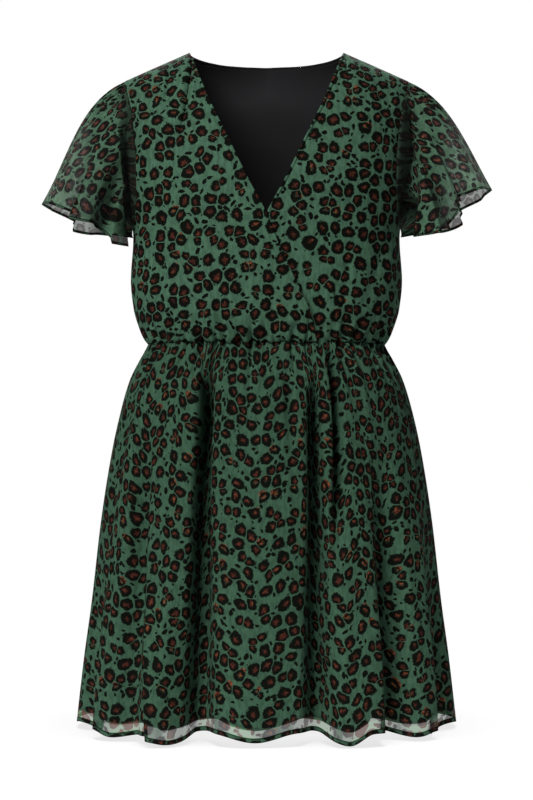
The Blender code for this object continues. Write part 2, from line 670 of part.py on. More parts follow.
def cloth(name, rows, material, parent, collection, closed=False):
    """One piece of cloth: a sheet through the rows, given its thickness by Solidify."""
    mesh = bmesh.new()
    bands = [(keys, [mesh.verts.new(point) for point in points]) for keys, points in rows]
    for lower, upper in zip(bands[:-1], bands[1:]):
        add_band(mesh, lower, upper, closed)
    bmesh.ops.recalc_face_normals(mesh, faces=mesh.faces)
    data = bpy.data.meshes.new(name)
    mesh.to_mesh(data)
    mesh.free()
    data.shade_smooth()
    data.materials.append(material)
    piece = bpy.data.objects.new(name, data)
    piece.parent = parent
    collection.objects.link(piece)
    thicken = piece.modifiers.new("thickness", "SOLIDIFY")
    thicken.thickness = WALL
    thicken.offset = 0.0
    return piece


def finish(name, colour, roughness):
    """A plain cloth material."""
    material = bpy.data.materials.new(name)
    material.use_nodes = True
    shader = material.node_tree.nodes["Principled BSDF"]
    shader.inputs["Base Color"].default_value = colour
    shader.inputs["Roughness"].default_value = roughness
    shader.inputs["Metallic"].default_value = 0.0
    return material


def build():
    """The whole dress, in a collection of its own."""
    for old in list(bpy.data.objects):
        bpy.data.objects.remove(old, do_unlink=True)
    collection = bpy.data.collections.new("a_line_dress")
    bpy.context.scene.collection.children.link(collection)
    dress = bpy.data.objects.new("dress_origin", None)
    collection.objects.link(dress)

    outer = finish("printed_chiffon", GREEN, 0.75)
    inner = finish("black_lining", BLACK, 0.6)

    cloth("bodice_front_right", front_rows(-1), outer, dress, collection)
    cloth("bodice_front_left", front_rows(1), outer, dress, collection)
    cloth("bodice_back", back_rows(), outer, dress, collection)
    cloth("bodice_lining_back", back_lining_rows(), inner, dress, collection)
    cloth("sleeve_right", sleeve_rows(-1, RIGHT_CUFF), outer, dress, collection, closed=True)
    cloth("sleeve_left", sleeve_rows(1, LEFT_CUFF), outer, dress, collection, closed=True)
    for label, count, face, folds in (
        ("front", FRONT_GATHERS, -1, FRONT_FOLDS),
        ("back", BACK_GATHERS, 1, BACK_FOLDS),
    ):
        rows = skirt_rows(count, face, folds)
        cloth("skirt_" + label, rows, outer, dress, collection)
        rows = skirt_lining_rows(count, face, folds)
        cloth("skirt_lining_" + label, rows, inner, dress, collection)


build()
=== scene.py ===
"""The looks of an a-line dress: fine cloth shells, an animal print on sheer chiffon, black
linings, hems and seams, with a plain white studio round them.

In the tables lengths are in millimetres and angles in degrees. Elsewhere lengths are in
metres, and angles in radians where no comment says degrees. +X is the wearer's left, the
front faces -Y and +Z is up. The origin is the middle of the neck opening, level with the
neck ends of the shoulder seams.
"""

import math
from collections import namedtuple

import bpy
import numpy as np
from mathutils import Euler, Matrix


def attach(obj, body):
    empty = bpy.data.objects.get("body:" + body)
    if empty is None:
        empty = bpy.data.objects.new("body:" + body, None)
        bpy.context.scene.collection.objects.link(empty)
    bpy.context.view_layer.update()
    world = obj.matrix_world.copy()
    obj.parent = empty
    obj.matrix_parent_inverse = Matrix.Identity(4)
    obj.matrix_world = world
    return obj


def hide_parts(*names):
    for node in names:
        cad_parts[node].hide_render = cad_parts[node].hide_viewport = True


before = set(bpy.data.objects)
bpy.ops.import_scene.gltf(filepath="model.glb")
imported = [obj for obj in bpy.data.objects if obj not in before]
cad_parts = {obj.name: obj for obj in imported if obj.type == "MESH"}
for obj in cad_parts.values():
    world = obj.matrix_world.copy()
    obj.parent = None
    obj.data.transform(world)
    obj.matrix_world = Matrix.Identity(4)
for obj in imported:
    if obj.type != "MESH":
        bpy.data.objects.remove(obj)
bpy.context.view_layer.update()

# ---- sizes of the dress's form

NECK_HALF = 0.108
SHOULDER_HALF = 0.199
SHOULDER_DROP = 0.039
SHOULDER_Y = 0.010
FRONT_ROLL = 0.110
BACK_ROLL = 0.090
BACK_NECK_DROP = 0.008
BACK_NECK_FLATNESS = 4
UNDERARM_Z = -0.246
WAIST_Z = -0.408
HEM_Z = -0.937
SQUARENESS = 2.25
SHOULDER_SHARE = 0.27   # of the columns of half the back that lie under a shoulder seam
BACK_LINING_FOOT = -0.385

OVERLAP_RISE = 0.0024
OVERLAP_ACROSS = (-0.150, -0.080)
OVERLAP_HEIGHTS = (-0.200, -0.110)

FRONT_GATHERS = 24
BACK_GATHERS = 22
GATHER_UNEVENNESS = 0.30
GATHER_BEAT = 2.3
GATHER_DRIFT = 0.018
GATHER_DRIFT_WAVES = 3
PLAIN_GATHERS = 1.3

GATHER_DEPTH = 0.0027
GATHER_REACH_UP = 0.045     # how far the gathers run up the bodice and down the skirt
GATHER_REACH_DOWN = 0.085
PUCKER_SCALE = 1.8
FINE_PUCKER = 0.0015    # depth of the small tucks between the gathers at the waist
FINE_REACH = 0.019
EDGE_ROLL = 0.0011      # height of the roll along the fronts' edges
WRAP_HOLLOW = 0.0045    # how far the under front falls away beside the upper one's edge
SEAM_WAVE = 0.0009      # how far the waist seam wanders up and down
SEAM_GAP = 0.0003       # between the edges of two pieces that are sewn together
ALLOWANCE = 0.006       # of the seams, turned under
ALLOWANCE_DEPTH = 0.0018
BODICE_WALL = 0.0008    # the chiffon with its lining
LINING_WALL = 0.0005
LINING_DEPTH = 0.0040   # how much further inside the skirt its lining hangs below the waist
LINING_HEM_RISE = 0.0150
SIDE_EASE = 0.80        # how much the print narrows where the bodice turns to its sides
PRINT_BLUR = 0.13       # how far up and down the print is evened out over the folds
HEM_BAND = 0.0058       # width of the turned hem of the skirt
CUFF_BAND = 0.0030      # and of the sleeves

LINING_CLEARANCE = 0.0012   # how far inside the skirt's cloth its lining starts, at the waist
SIDE_INSET = 0.0016         # and how far inside the plain form, at the side seams
BACK_LINING_INSET = 0.012   # of the back lining's edges from the armholes
BACK_LINING_DROP = 0.0035   # and of its top from the neck
BACK_LINING_DEPTH = 0.0040  # how far it hangs inside the back, but nearer at the neck
BACK_LINING_RISE = 0.0022
SLEEVE_OFFSET = 0.0008      # from the armhole's edge to the first row of a sleeve
SLEEVE_TURNING = 0.004      # how far a sleeve's seam is turned in under the bodice
SLEEVE_TURNING_DEPTH = 0.0016

ROLL_PLACE = 0.0016         # of the roll and the groove behind it, from a front's edge
ROLL_WIDTH = 0.0014
GROOVE_PLACE = 0.0046
GROOVE_WIDTH = 0.0012

BODICE_WANDER = 0.0009      # height of the soft, uneven waves of each cloth
SKIRT_WANDER = 0.0016
SKIRT_RIPPLE = 0.0008
SLEEVE_WANDER = 0.0012


LENGTHS = (
    "height half_width front back across out aside start growth end rise rise_hem depth width"
    " down up x0 z0 x1 z1 bow reach"
).split()


def listed(kind, *lines):
    """A table, a row for each line. Its LENGTHS are written in millimetres here, and kept
    in metres; the other columns are degrees and shares."""
    return [
        kind(*(
            round(value / 1000, 7) if column in LENGTHS else value
            for column, value in zip(kind._fields, line)
        ))
        for line in lines
    ]


Section = namedtuple("Section", "height half_width front back")

BODICE_SECTIONS = listed(
    Section,
    (-408, 164, 112, 90),
    (-402, 169, 116, 93),
    (-388, 176, 121, 97),
    (-360, 185, 128, 101),
    (-320, 189, 133, 104),
    (-262, 185.5, 137, 107),
    (-246, 186.5, 137, 107),
    (-230, 190, 136, 108),
    (-200, 195, 134, 108),
    (-160, 199, 127, 106),
    (-110, 203, 115, 98),
    (-60, 205, 101, 87),
    (60, 206, 86, 72),
)

SKIRT_SECTIONS = listed(
    Section,
    (-408, 164, 112, 90),
    (-416, 168, 116, 95),
    (-430, 176, 123, 103),
    (-458, 190, 132, 115),
    (-500, 203, 138, 128),
    (-556, 215.5, 143, 136),
    (-654, 231, 149, 143),
    (-766, 244, 155, 149),
    (-850, 255.5, 160, 154),
    (-950, 267, 165, 160),
)

Armhole = namedtuple("Armhole", "height front back")

ARMHOLE = listed(
    Armhole,
    (-246, 186.5, 186.5),
    (-232, 180, 183),
    (-205, 176.5, 182),
    (-160, 178, 185),
    (-110, 183, 190),
    (-70, 190, 195),
    (-39, 199, 199),
)

# The crossed edge of a front, seen from its own side: past the centre it is negative.
Edge = namedtuple("Edge", "height across")

FRONT_EDGE = listed(
    Edge,
    (-408, -68),
    (-367, -58),
    (-325, -38),
    (-266, -11),
    (-238, 0),
    (-193, 23.5),
    (-127, 55),
    (-76, 79),
    (0, 108),
)

# The mouth of each sleeve: angle round it from the outer tip, over the front (90), how far
# it stands out of a plain oval and is pushed on round it, and the hem's height.
Cuff = namedtuple("Cuff", "angle out aside height")

RIGHT_CUFF = listed(
    Cuff,
    (0, 0, 0, -211.6),
    (26, -3, 0, -214),
    (48, 3, 0, -219),
    (70, -20, 6, -222.5),
    (78, -16, 4, -225),
    (86, 9, -9, -244),
    (104, 6, -2, -246),
    (121, -24, 6, -245),
    (127, -20, 2, -248),
    (133, 10, -8, -273),
    (144, 14, 2, -273.5),
    (155, 8, 9, -273),
    (161, -2, 26, -259),
    (174, 4, 32, -257),
    (190, 10, 16, -255.5),
    (206, 12, 0, -254),
    (226, -15, 0, -250),
    (244, 3, 2, -249),
    (262, -14, 0, -246),
    (281, 5, 13, -245),
    (300, -18, -3, -223),
    (322, 1, 0, -218),
    (340, -4, 0, -213.5),
    (360, 0, 0, -211.6),
)

LEFT_CUFF = listed(
    Cuff,
    (0, 1, 0, -192),
    (28, -3, 0, -195),
    (52, 4, 0, -199),
    (72, -14, 2, -201.5),
    (81, -12, 6, -206),
    (88, 6, -11, -232),
    (97, -20, 2, -240),
    (104, -32, 6, -243),
    (110, 6, -7, -261),
    (118, 14, -2, -262.5),
    (132, 14, 0, -262.5),
    (140, 6, 6, -262),
    (147, -6, 30, -257.5),
    (162, -2, 38, -256),
    (184, 8, 20, -255),
    (208, 11, 0, -253),
    (228, -15, 0, -248),
    (246, 3, 2, -246),
    (264, -14, 0, -243),
    (285, 6, 14, -238.5),
    (302, -18, -3, -208),
    (326, 1, 0, -202),
    (342, -3, 0, -195),
    (360, 1, 0, -192),
)

CUFF_CENTRE_X = 0.256
CUFF_CENTRE_Y = 0.004
CUFF_HALF_WIDTH = 0.0595
CUFF_HALF_DEPTH = 0.086

Direction = namedtuple("Direction", "top_out top_up under_out under_up spread")
SLEEVE_LEAVES = Direction(0.93, -0.36, 0.75, -0.10, 0.60)
SLEEVE_ARRIVES = Direction(0.52, -0.88, 0.10, -0.88, 0.22)
SLEEVE_FULLNESS = 0.75
SLEEVE_HEAD_FULLNESS = 0.22
SLEEVE_HANG = 0.42      # how far round from its seam a sleeve's cloth hangs
GATHER_SCALE = 1.5
SHOULDER_AXIS_X = 0.183     # of the upright axis that a sleeve's print goes round, at its top
PRINT_RADIUS = 0.066        # of the round on which it is laid, and its growth to the mouth
PRINT_RADIUS_GROWTH = 0.019

# ---- folds, placed one by one

# A band of the skirt that is folded out (rise above 0) or in. Its edges run from the
# angles at the height start to those at the hem, sharper where the width is small; its
# rise runs from the first value to the one at the hem, and its edge leans over sideways.
# It comes to its full depth over the height growth, and dies away at the height end if
# it doesn't reach the hem.
Band = namedtuple(
    "Band",
    "start growth end left_top left_hem right_top right_hem rise rise_hem"
    " left_width right_width lean",
)
THROUGH = -2000     # an end below the hem
VALLEY_SPREAD = 0.9     # how much softer a valley's edges are at the hem than at its top

FRONT_BANDS = listed(
    Band,
    (-600, 300, THROUGH, 9, 11, 25, 29, -16, -26, 2.5, 1.6, 0),
    (-600, 300, THROUGH, 24, 31.5, 44, 57, 9, 13, 1.1, 4, 0.6),
    (-480, 200, THROUGH, 35, 42.5, 41.5, 50.5, -24, -26, 2.2, 1.2, 0),
    (-620, 280, THROUGH, 45.5, 56.2, 59, 63, 18, 22, 0.9, 1.8, 0.3),
    (-432, 80, THROUGH, 60.6, 65.2, 66.9, 73.2, -64, -42, 0.7, 1.5, 0.14),
    (-430, 300, THROUGH, 76, 80, 92, 94, 5, 6, 3, 3, 0),
    (-420, 60, -620, 97.4, 97, 100.6, 100, -9, -9, 1.3, 1, 0),
    (-440, 90, THROUGH, 107.6, 102, 112.4, 108.6, -54, -42, 1.4, 0.9, 0.1),
    (-560, 280, THROUGH, 113.5, 110, 127.5, 123.6, 13, 18, 1.6, 1.1, 0.35),
    (-412, 40, -720, 118.2, 107.4, 121.6, 110.6, -32, -26, 0.7, 0.9, 0),
    (-530, 220, THROUGH, 130.6, 126.2, 141.4, 135.4, -38, -32, 1, 2.2, 0.1),
    (-600, 300, THROUGH, 143, 137, 155.5, 148, 8, 11, 3, 1.1, 0.5),
    (-600, 300, THROUGH, 156, 152.5, 171, 169, -16, -26, 2, 2.5, 0),
)

BACK_BANDS = listed(
    Band,
    (-600, 300, THROUGH, 9, 10, 20, 21, -12, -20, 2.5, 2, 0),
    (-580, 300, THROUGH, 20, 22, 38, 43, 9, 12, 1, 3, 0.6),
    (-440, 100, THROUGH, 44, 47, 49, 54, -52, -34, 0.9, 1.5, 0.12),
    (-580, 280, THROUGH, 55, 56.5, 66, 68, 12, 16, 1.6, 1, 0.5),
    (-500, 220, THROUGH, 69, 70, 75, 77, -34, -26, 1.2, 2.4, 0.1),
    (-420, 80, THROUGH, 95, 92, 99.6, 98, -56, -34, 1.5, 0.8, 0.12),
    (-580, 280, THROUGH, 101, 99.5, 118, 116, 11, 15, 1.6, 1, 0.5),
    (-490, 200, THROUGH, 121, 118, 127, 125, -36, -28, 1.2, 2.2, 0.1),
    (-420, 50, -660, 111, 108, 113.6, 110.4, -12, -10, 0.8, 0.8, 0),
    (-600, 300, THROUGH, 138, 134, 156, 152, 9, 12, 3, 1, 0.6),
    (-600, 300, THROUGH, 158, 157, 171, 170, -12, -20, 2, 2.5, 0),
)

# The height of the skirt's hem at angles round it.
Hem = namedtuple("Hem", "angle height")

FRONT_HEM = listed(
    Hem,
    (0, -935),
    (8, -931),
    (20, -941),
    (31, -927),
    (40, -936),
    (53, -930),
    (62, -938),
    (67, -929),
    (75, -926),
    (87, -935),
    (99.5, -924),
    (107, -928),
    (113.5, -939),
    (121, -924),
    (130, -929),
    (138, -936),
    (147.5, -930),
    (156, -942),
    (172, -932),
    (180, -935),
)

BACK_HEM = listed(
    Hem,
    (0, -935),
    (12, -930),
    (30, -939),
    (51, -927),
    (61, -937),
    (73, -928),
    (84, -936),
    (95, -926),
    (108, -938),
    (122, -928),
    (145, -939),
    (166, -931),
    (180, -935),
)

# A deep gather at the waist seam, that runs down the skirt and up the bodice.
Pucker = namedtuple("Pucker", "angle depth spread down up")

FRONT_PUCKERS = listed(
    Pucker,
    (22, 3.4, 1, 50, 30),
    (34.5, 3, 0.9, 36, 22),
    (48.5, 4.6, 1, 62, 50),
    (57.5, 5.6, 1, 58, 40),
    (65.3, 5, 0.9, 80, 34),
    (69.6, 4.8, 0.9, 52, 54),
    (76.8, 3.4, 0.8, 34, 20),
    (83, 4.2, 0.8, 40, 30),
    (86.6, 3.4, 0.7, 46, 18),
    (93.5, 2.4, 0.8, 28, 40),
    (101.6, 4.6, 0.9, 66, 26),
    (108.6, 4.4, 0.9, 46, 50),
    (115.5, 3, 0.8, 34, 30),
    (125.6, 5.6, 0.9, 90, 42),
    (134, 3.6, 0.9, 44, 34),
    (146, 3.4, 1, 48, 26),
    (158, 3.2, 1, 40, 24),
)

BACK_PUCKERS = listed(
    Pucker,
    (19, 3.4, 1, 48, 26),
    (31, 3.2, 1, 40, 34),
    (44, 5, 1, 78, 30),
    (53, 3.6, 0.9, 46, 50),
    (64, 4.6, 0.9, 60, 26),
    (72, 3.4, 0.8, 36, 34),
    (81, 4.4, 0.9, 58, 48),
    (89, 3, 0.8, 34, 22),
    (97.5, 5, 0.9, 80, 36),
    (106, 3.4, 0.9, 40, 44),
    (114, 4.4, 0.9, 64, 24),
    (123.5, 3.8, 0.9, 46, 40),
    (136, 5, 1, 70, 28),
    (149, 3.4, 1, 44, 32),
    (161, 3, 1, 36, 22),
)

# A crease of the bodice, a soft trough (depth above 0) or ridge from one place to another,
# seen from the front; bow bends it aside.
Crease = namedtuple("Crease", "x0 z0 x1 z1 depth width bow")

# A pleat of the bodice along a line that runs down. Seen from the front, the cloth on its
# left stands up over that on its right if rise is above 0, or else the right one over the
# left, and falls back over reach.
Lap = namedtuple("Lap", "x0 z0 x1 z1 rise width reach bow")

RIGHT_FRONT_LAPS = listed(
    Lap,
    (-103, -6, -118.5, -150, 3.6, 1, 22, -2),
    (-136, -20, -148, -135, 1.8, 1.2, 18, -2),
    (-93.5, -10, -90, -75, 1.4, 1, 10, 1),
)

LEFT_FRONT_LAPS = listed(
    Lap,
    (112, -6, 123, -120, -2, 1.2, 20, 2),
)

RIGHT_FRONT_CREASES = listed(
    Crease,
    (-104, -6, -120.5, -150, 6.2, 2.6, -2),
    (-99, -6, -106, -90, -1.6, 7, -3),
    (-125, -10, -142, -110, 1.6, 6, -2),
    (-185, -55, -170, -190, 1.8, 5, 4),
    (-176, -215, -144, -310, 2.2, 7, 4),
    (-150, -255, -118, -360, 1.8, 6.5, 3),
    (-112, -290, -96, -392, 2, 5, 2),
    (-70, -300, -60, -394, 1.8, 5, 1),
    (-30, -318, -28, -396, 1.8, 4.5, 0),
    (8, -325, 6, -396, 1.6, 4.5, 0),
    (-75, -120, -90, -240, -1.4, 16, 4),
    (-45, -185, -62, -330, 1.2, 14, 4),
)

LEFT_FRONT_CREASES = listed(
    Crease,
    (113, -6, 125, -110, 1.4, 5, 3),
    (186, -55, 172, -190, 1.8, 5, -4),
    (176, -220, 148, -320, 2.2, 7, -4),
    (158, -270, 126, -372, 1.8, 6, -3),
    (110, -285, 98, -392, 2.2, 5, -2),
    (76, -310, 70, -394, 1.8, 5, 0),
    (90, -110, 102, -250, -1.4, 16, -4),
    (60, -190, 76, -320, 1.2, 14, -4),
)

BACK_CREASES = listed(
    Crease,
    (-184, -70, -174, -190, 1.6, 5, 3),
    (184, -70, 174, -190, 1.6, 5, -3),
    (-170, -215, -135, -320, 2, 7, 4),
    (172, -220, 140, -330, 2, 7, -4),
    (-90, -280, -82, -392, 1.8, 6, 2),
    (-34, -300, -32, -394, 1.6, 5, 0),
    (26, -290, 30, -394, 1.8, 5, 0),
    (98, -275, 86, -392, 2, 6, -2),
    (0, -60, 4, -230, -1.2, 20, 3),
)

# A gather of a sleeve's head, by its angle round from the shoulder and its share of the
# sleeve's length.
Gather = namedtuple("Gather", "angle depth spread run slant")

RIGHT_SLEEVE_GATHERS = listed(
    Gather,
    (-66, 3, 3.2, 0.46, 6),
    (-52, 3.6, 3, 0.6, 5),
    (-38, 3, 2.8, 0.44, 4),
    (-25, 3.8, 2.8, 0.66, 2),
    (-12, 3, 2.4, 0.42, 1),
    (1, 3, 2.4, 0.36, 0),
    (12, 3.6, 2.6, 0.52, -2),
    (24, 4.2, 2.8, 0.72, -4),
    (36, 3.4, 2.8, 0.48, -6),
    (47, 4.4, 3, 0.8, -8),
    (60, 3.2, 3, 0.52, -8),
    (74, 2.8, 3.4, 0.5, -8),
)

LEFT_SLEEVE_GATHERS = listed(
    Gather,
    (-64, 3.2, 3.2, 0.5, 6),
    (-49, 3, 3, 0.44, 5),
    (-35, 3.8, 3, 0.64, 4),
    (-22, 3, 2.6, 0.42, 2),
    (-9, 3.4, 2.6, 0.5, 1),
    (5, 3, 2.4, 0.34, 0),
    (17, 4.4, 2.6, 0.7, -3),
    (29, 4, 2.8, 0.56, -6),
    (41, 5, 3, 0.84, -8),
    (54, 3.4, 3, 0.56, -8),
    (68, 3.6, 3.2, 0.6, -8),
)

# Where the front of a sleeve falls in beside the body, from the angle top downwards.
Hollow = namedtuple("Hollow", "top depth width")

RIGHT_HOLLOW, LEFT_HOLLOW = listed(Hollow, (84, 30, 17), (56, 40, 30))

# ---- plain helpers

def ease(low, high, value):
    """0 below low, 1 above high, and a smooth step between them."""
    t = np.clip((np.asarray(value, dtype=float) - low) / (high - low), 0, 1)
    return t * t * (3 - 2 * t)


def hermite(t, start, leaving, end, arriving):
    """A smooth curve from start to end, with its slopes at both, as t goes from 0 to 1."""
    left = 1 - t
    return (
        (1 + 2 * t) * left ** 2 * start + t * left ** 2 * leaving
        + t * t * (3 - 2 * t) * end - t * t * left * arriving
    )


def read(table, column, at, by="height"):
    """One column of a table, along a smooth curve with no overshoot."""
    table = sorted(table, key=lambda row: getattr(row, by))
    knots = np.array([getattr(row, by) for row in table])
    values = np.array([getattr(row, column) for row in table])
    steps = np.diff(knots)
    slopes = np.diff(values) / steps
    before = slopes[:-1]
    after = slopes[1:]
    same_way = before * after > 0
    total = np.where(same_way, before + after, 1)
    inner = np.where(same_way, 2 * before * after / total, 0)
    tangents = np.concatenate((slopes[:1], inner, slopes[-1:]))
    at = np.clip(np.asarray(at, dtype=float), knots[0], knots[-1])
    i = np.clip(np.searchsorted(knots, at, side="right") - 1, 0, len(steps) - 1)
    step = steps[i]
    t = (at - knots[i]) / step
    return hermite(t, values[i], step * tangents[i], values[i + 1], step * tangents[i + 1])


def joined(*parts):
    """Points from their parts: x, y and z."""
    return np.stack(parts, axis=-1)


def unit(vectors):
    return vectors / np.maximum(np.linalg.norm(vectors, axis=-1, keepdims=True), 1e-9)


def grid_normals(grid, closed=False):
    """Unit normals of a grid of points (row, column, xyz), away from the dress's axis."""
    along_rows = np.gradient(grid, axis=0)
    if closed:
        along_columns = (np.roll(grid, -1, axis=1) - np.roll(grid, 1, axis=1)) / 2
    else:
        along_columns = np.gradient(grid, axis=1)
    normals = unit(np.cross(along_rows, along_columns))
    middle = grid.shape[0] // 2, grid.shape[1] // 2
    if np.dot(normals[middle][:2], grid[middle][:2]) < 0:
        normals = -normals
    return normals


def running(values, axis):
    """Lengths summed along an axis, starting from 0."""
    total = np.cumsum(values, axis=axis)
    shape = list(total.shape)
    shape[axis] = 1
    return np.concatenate((np.zeros(shape), total), axis=axis)


def lengths(grid, axis):
    return np.linalg.norm(np.diff(grid, axis=axis), axis=-1)


def with_allowance(points, uv, side, shift):
    """A grid with one more row or column at a side: its seam allowance, turned under."""
    axis, at = {"top": (0, 0), "left": (1, 0), "right": (1, -1)}[side]
    edge = np.take(points, [at], axis=axis) + shift
    places = np.take(uv, [at], axis=axis)
    if at == 0:
        return np.concatenate((edge, points), axis), np.concatenate((places, uv), axis)
    return np.concatenate((points, edge), axis), np.concatenate((uv, places), axis)


def side_allowances(points, uv, share):
    """The back's edges, turned under the front's at both side seams."""
    for side, way in (("left", 1), ("right", -1)):
        shift = joined(way * ALLOWANCE_DEPTH * share, -ALLOWANCE * share, 0 * share)
        points, uv = with_allowance(points, uv, side, shift)
    return points, uv


def wander(across, along, beat, seed):
    """A gentle, uneven wave between -1 and 1, for soft undulations of the cloth."""
    return (
        np.sin(beat * across + 1.7 * seed + 1.3 * np.sin(0.37 * beat * across + seed))
        * np.cos(9 * along + 2.1 * seed + 0.8 * np.sin(0.6 * beat * across))
    )


# ---- the body's form

def gather_angle(gather, count):
    """Angle round the waist, in radians, of a gather's number; they are not quite even."""
    even = math.pi * gather / count
    return even + GATHER_DRIFT * np.sin(2 * GATHER_DRIFT_WAVES * even)


def gather_number(angle, count):
    numbers = np.linspace(0, count, 40 * count + 1)
    return np.interp(angle, gather_angle(numbers, count), numbers)


def waist_wave(angle, count, puckers, drop):
    """How far the gathers stand out at an angle in radians; drop is the height below the
    waist seam, and is negative above it."""
    gather = gather_number(angle, count)
    uneven = 1 - GATHER_UNEVENNESS * (1 - np.sin(GATHER_BEAT * gather))
    flat = ease(0, PLAIN_GATHERS, gather) * ease(0, PLAIN_GATHERS, count - gather)
    down = GATHER_REACH_DOWN + 0.03 * np.sin(1.9 * gather)
    fade = 1 - ease(0.25, 1, np.abs(drop) / np.where(drop > 0, down, GATHER_REACH_UP))
    out = -GATHER_DEPTH * uneven * flat * np.cos(2 * math.pi * gather) * fade
    fine = np.abs(np.sin(1.5 * math.pi * gather + 0.9 * np.sin(0.83 * gather))) - 0.6
    fade = np.clip(1 - np.abs(drop) / FINE_REACH, 0, 1)
    out = out - FINE_PUCKER * flat * fine * fade
    degrees = np.degrees(angle)
    for pucker in puckers:
        reach = np.where(drop > 0, pucker.down, pucker.up)
        fade = np.clip(1 - np.abs(drop) / reach, 0, 1) ** 0.8
        spread = pucker.spread * (1 + 1.2 * np.abs(drop) / reach)
        away = (degrees - pucker.angle) / spread
        out = out - PUCKER_SCALE * pucker.depth * flat * fade * np.exp(-np.abs(away) ** 1.5)
    return out


def seam_wave(angle, drop):
    """How far the waist seam is off level, at an angle in radians."""
    wave = np.sin(19 * angle) + 0.7 * np.sin(33 * angle + 1.2) + 0.5 * np.sin(57 * angle)
    level = ease(0, 0.25, np.sin(angle))
    return SEAM_WAVE * wave * level * np.clip(1 - np.abs(drop) / 0.03, 0, 1)


def rounded(across):
    """Depth of a rounded section of unit size at a distance across from its centre."""
    inside = np.clip(1 - np.abs(across) ** SQUARENESS, 0, 1)
    return inside ** (1 / SQUARENESS)


def shoulder_line(x):
    return (NECK_HALF - np.abs(x)) * SHOULDER_DROP / (SHOULDER_HALF - NECK_HALF)


def bodice_points(x, z, face):
    """Points of the bodice's form; face is -1 in front and 1 behind."""
    half_width = read(BODICE_SECTIONS, "half_width", z)
    depth = read(BODICE_SECTIONS, "front" if face < 0 else "back", z)
    roll = FRONT_ROLL if face < 0 else BACK_ROLL
    full = face * depth * rounded(x / half_width)
    fall = np.clip((shoulder_line(x) - z) / roll, 0, 1)
    y = SHOULDER_Y + (full - SHOULDER_Y) * np.sqrt(1 - (1 - fall) ** 2)
    return joined(x, y, z)


def between(table, rows, columns, at_row, at_column):
    """Values of a table at places between its evenly spaced rows and columns."""
    def place(at, knots):
        share = np.clip((at - knots[0]) / (knots[1] - knots[0]), 0, len(knots) - 1.001)
        return share.astype(int), share % 1

    i, down = place(at_row, rows)
    j, on = place(at_column, columns)
    return (
        table[i, j] * (1 - down) * (1 - on) + table[i, j + 1] * (1 - down) * on
        + table[i + 1, j] * down * (1 - on) + table[i + 1, j + 1] * down * on
    )


def bodice_uv(x, z, face):
    """Flat place of each point of the bodice: lengths across and up along its form."""
    heights = np.linspace(WAIST_Z - 0.005, 0.005, 240)
    places = np.linspace(0, 0.206, 240)
    across, up = np.meshgrid(places, heights)
    form = bodice_points(across, up, face)
    turned = np.diff(form[..., 1], axis=1) * SIDE_EASE
    u = running(np.hypot(np.diff(across, axis=1), turned), 1)
    level = bodice_points(np.minimum(across, 0.125), up, face)
    v = running(lengths(level, 0), 0)
    u = between(u, heights, places, z, np.abs(x)) * np.sign(x)
    return joined(u, between(v, heights, places, z, np.abs(x)))


def beside(line, x, z):
    """Places seen from the front: how far along a line (0 to 1), and aside from its bow."""
    run = np.array((line.x1 - line.x0, line.z1 - line.z0))
    length = np.linalg.norm(run)
    run = run / length
    along = ((x - line.x0) * run[0] + (z - line.z0) * run[1]) / length
    aside = (x - line.x0) * run[1] - (z - line.z0) * run[0]
    return along, aside - line.bow * 4 * along * (1 - along)


def crease_depth(creases, x, z):
    """How far the creases push the cloth in."""
    depth = np.zeros_like(x)
    for crease in creases:
        along, aside = beside(crease, x, z)
        fade = ease(-0.06, 0.22, along) * (1 - ease(0.62, 1.04, along))
        depth = depth + crease.depth * fade * np.exp(-(aside / crease.width) ** 2)
    return depth


def lap_height(laps, x, z):
    """How far folded pleats raise the cloth on one side of their lines."""
    out = np.zeros_like(x)
    for lap in laps:
        along, aside = beside(lap, x, z)
        aside = aside * np.sign(lap.rise)
        fade = ease(-0.30, 0.02, along) * (1 - ease(0.30, 1.05, along))
        over = (1 + np.tanh(aside / lap.width)) / 2
        over = over * np.exp(-(np.maximum(aside, 0) / lap.reach) ** 2)
        tucked = 0.8 * np.exp(-((aside + 1.6 * lap.width) / (1.8 * lap.width)) ** 2)
        out = out + np.abs(lap.rise) * fade * (over - tucked)
    return out


def finish_bodice(x, z, face, count, puckers, creases, beat):
    """Points of a bodice panel with its gathers, creases and soft undulations."""
    points = bodice_points(x, z, face)
    normals = grid_normals(points)
    half_width = read(BODICE_SECTIONS, "half_width", z)
    angle = np.arccos(np.clip(-x / half_width, -1, 1))
    out = waist_wave(angle, count, puckers, WAIST_Z - z)
    out = out - crease_depth(creases, x, z) * ease(0, 0.02, shoulder_line(x) - z)
    soft = ease(0, 0.05, z - WAIST_Z) * (1 - ease(-0.05, 0, z - shoulder_line(x)))
    soft = soft * ease(0, 0.25, np.sin(angle))
    out = out + BODICE_WANDER * soft * wander(x / 0.03, z, beat, face)
    points = points + normals * out[..., None]
    points[..., 2] += seam_wave(angle, WAIST_Z - z)
    return points


# ---- the bodice

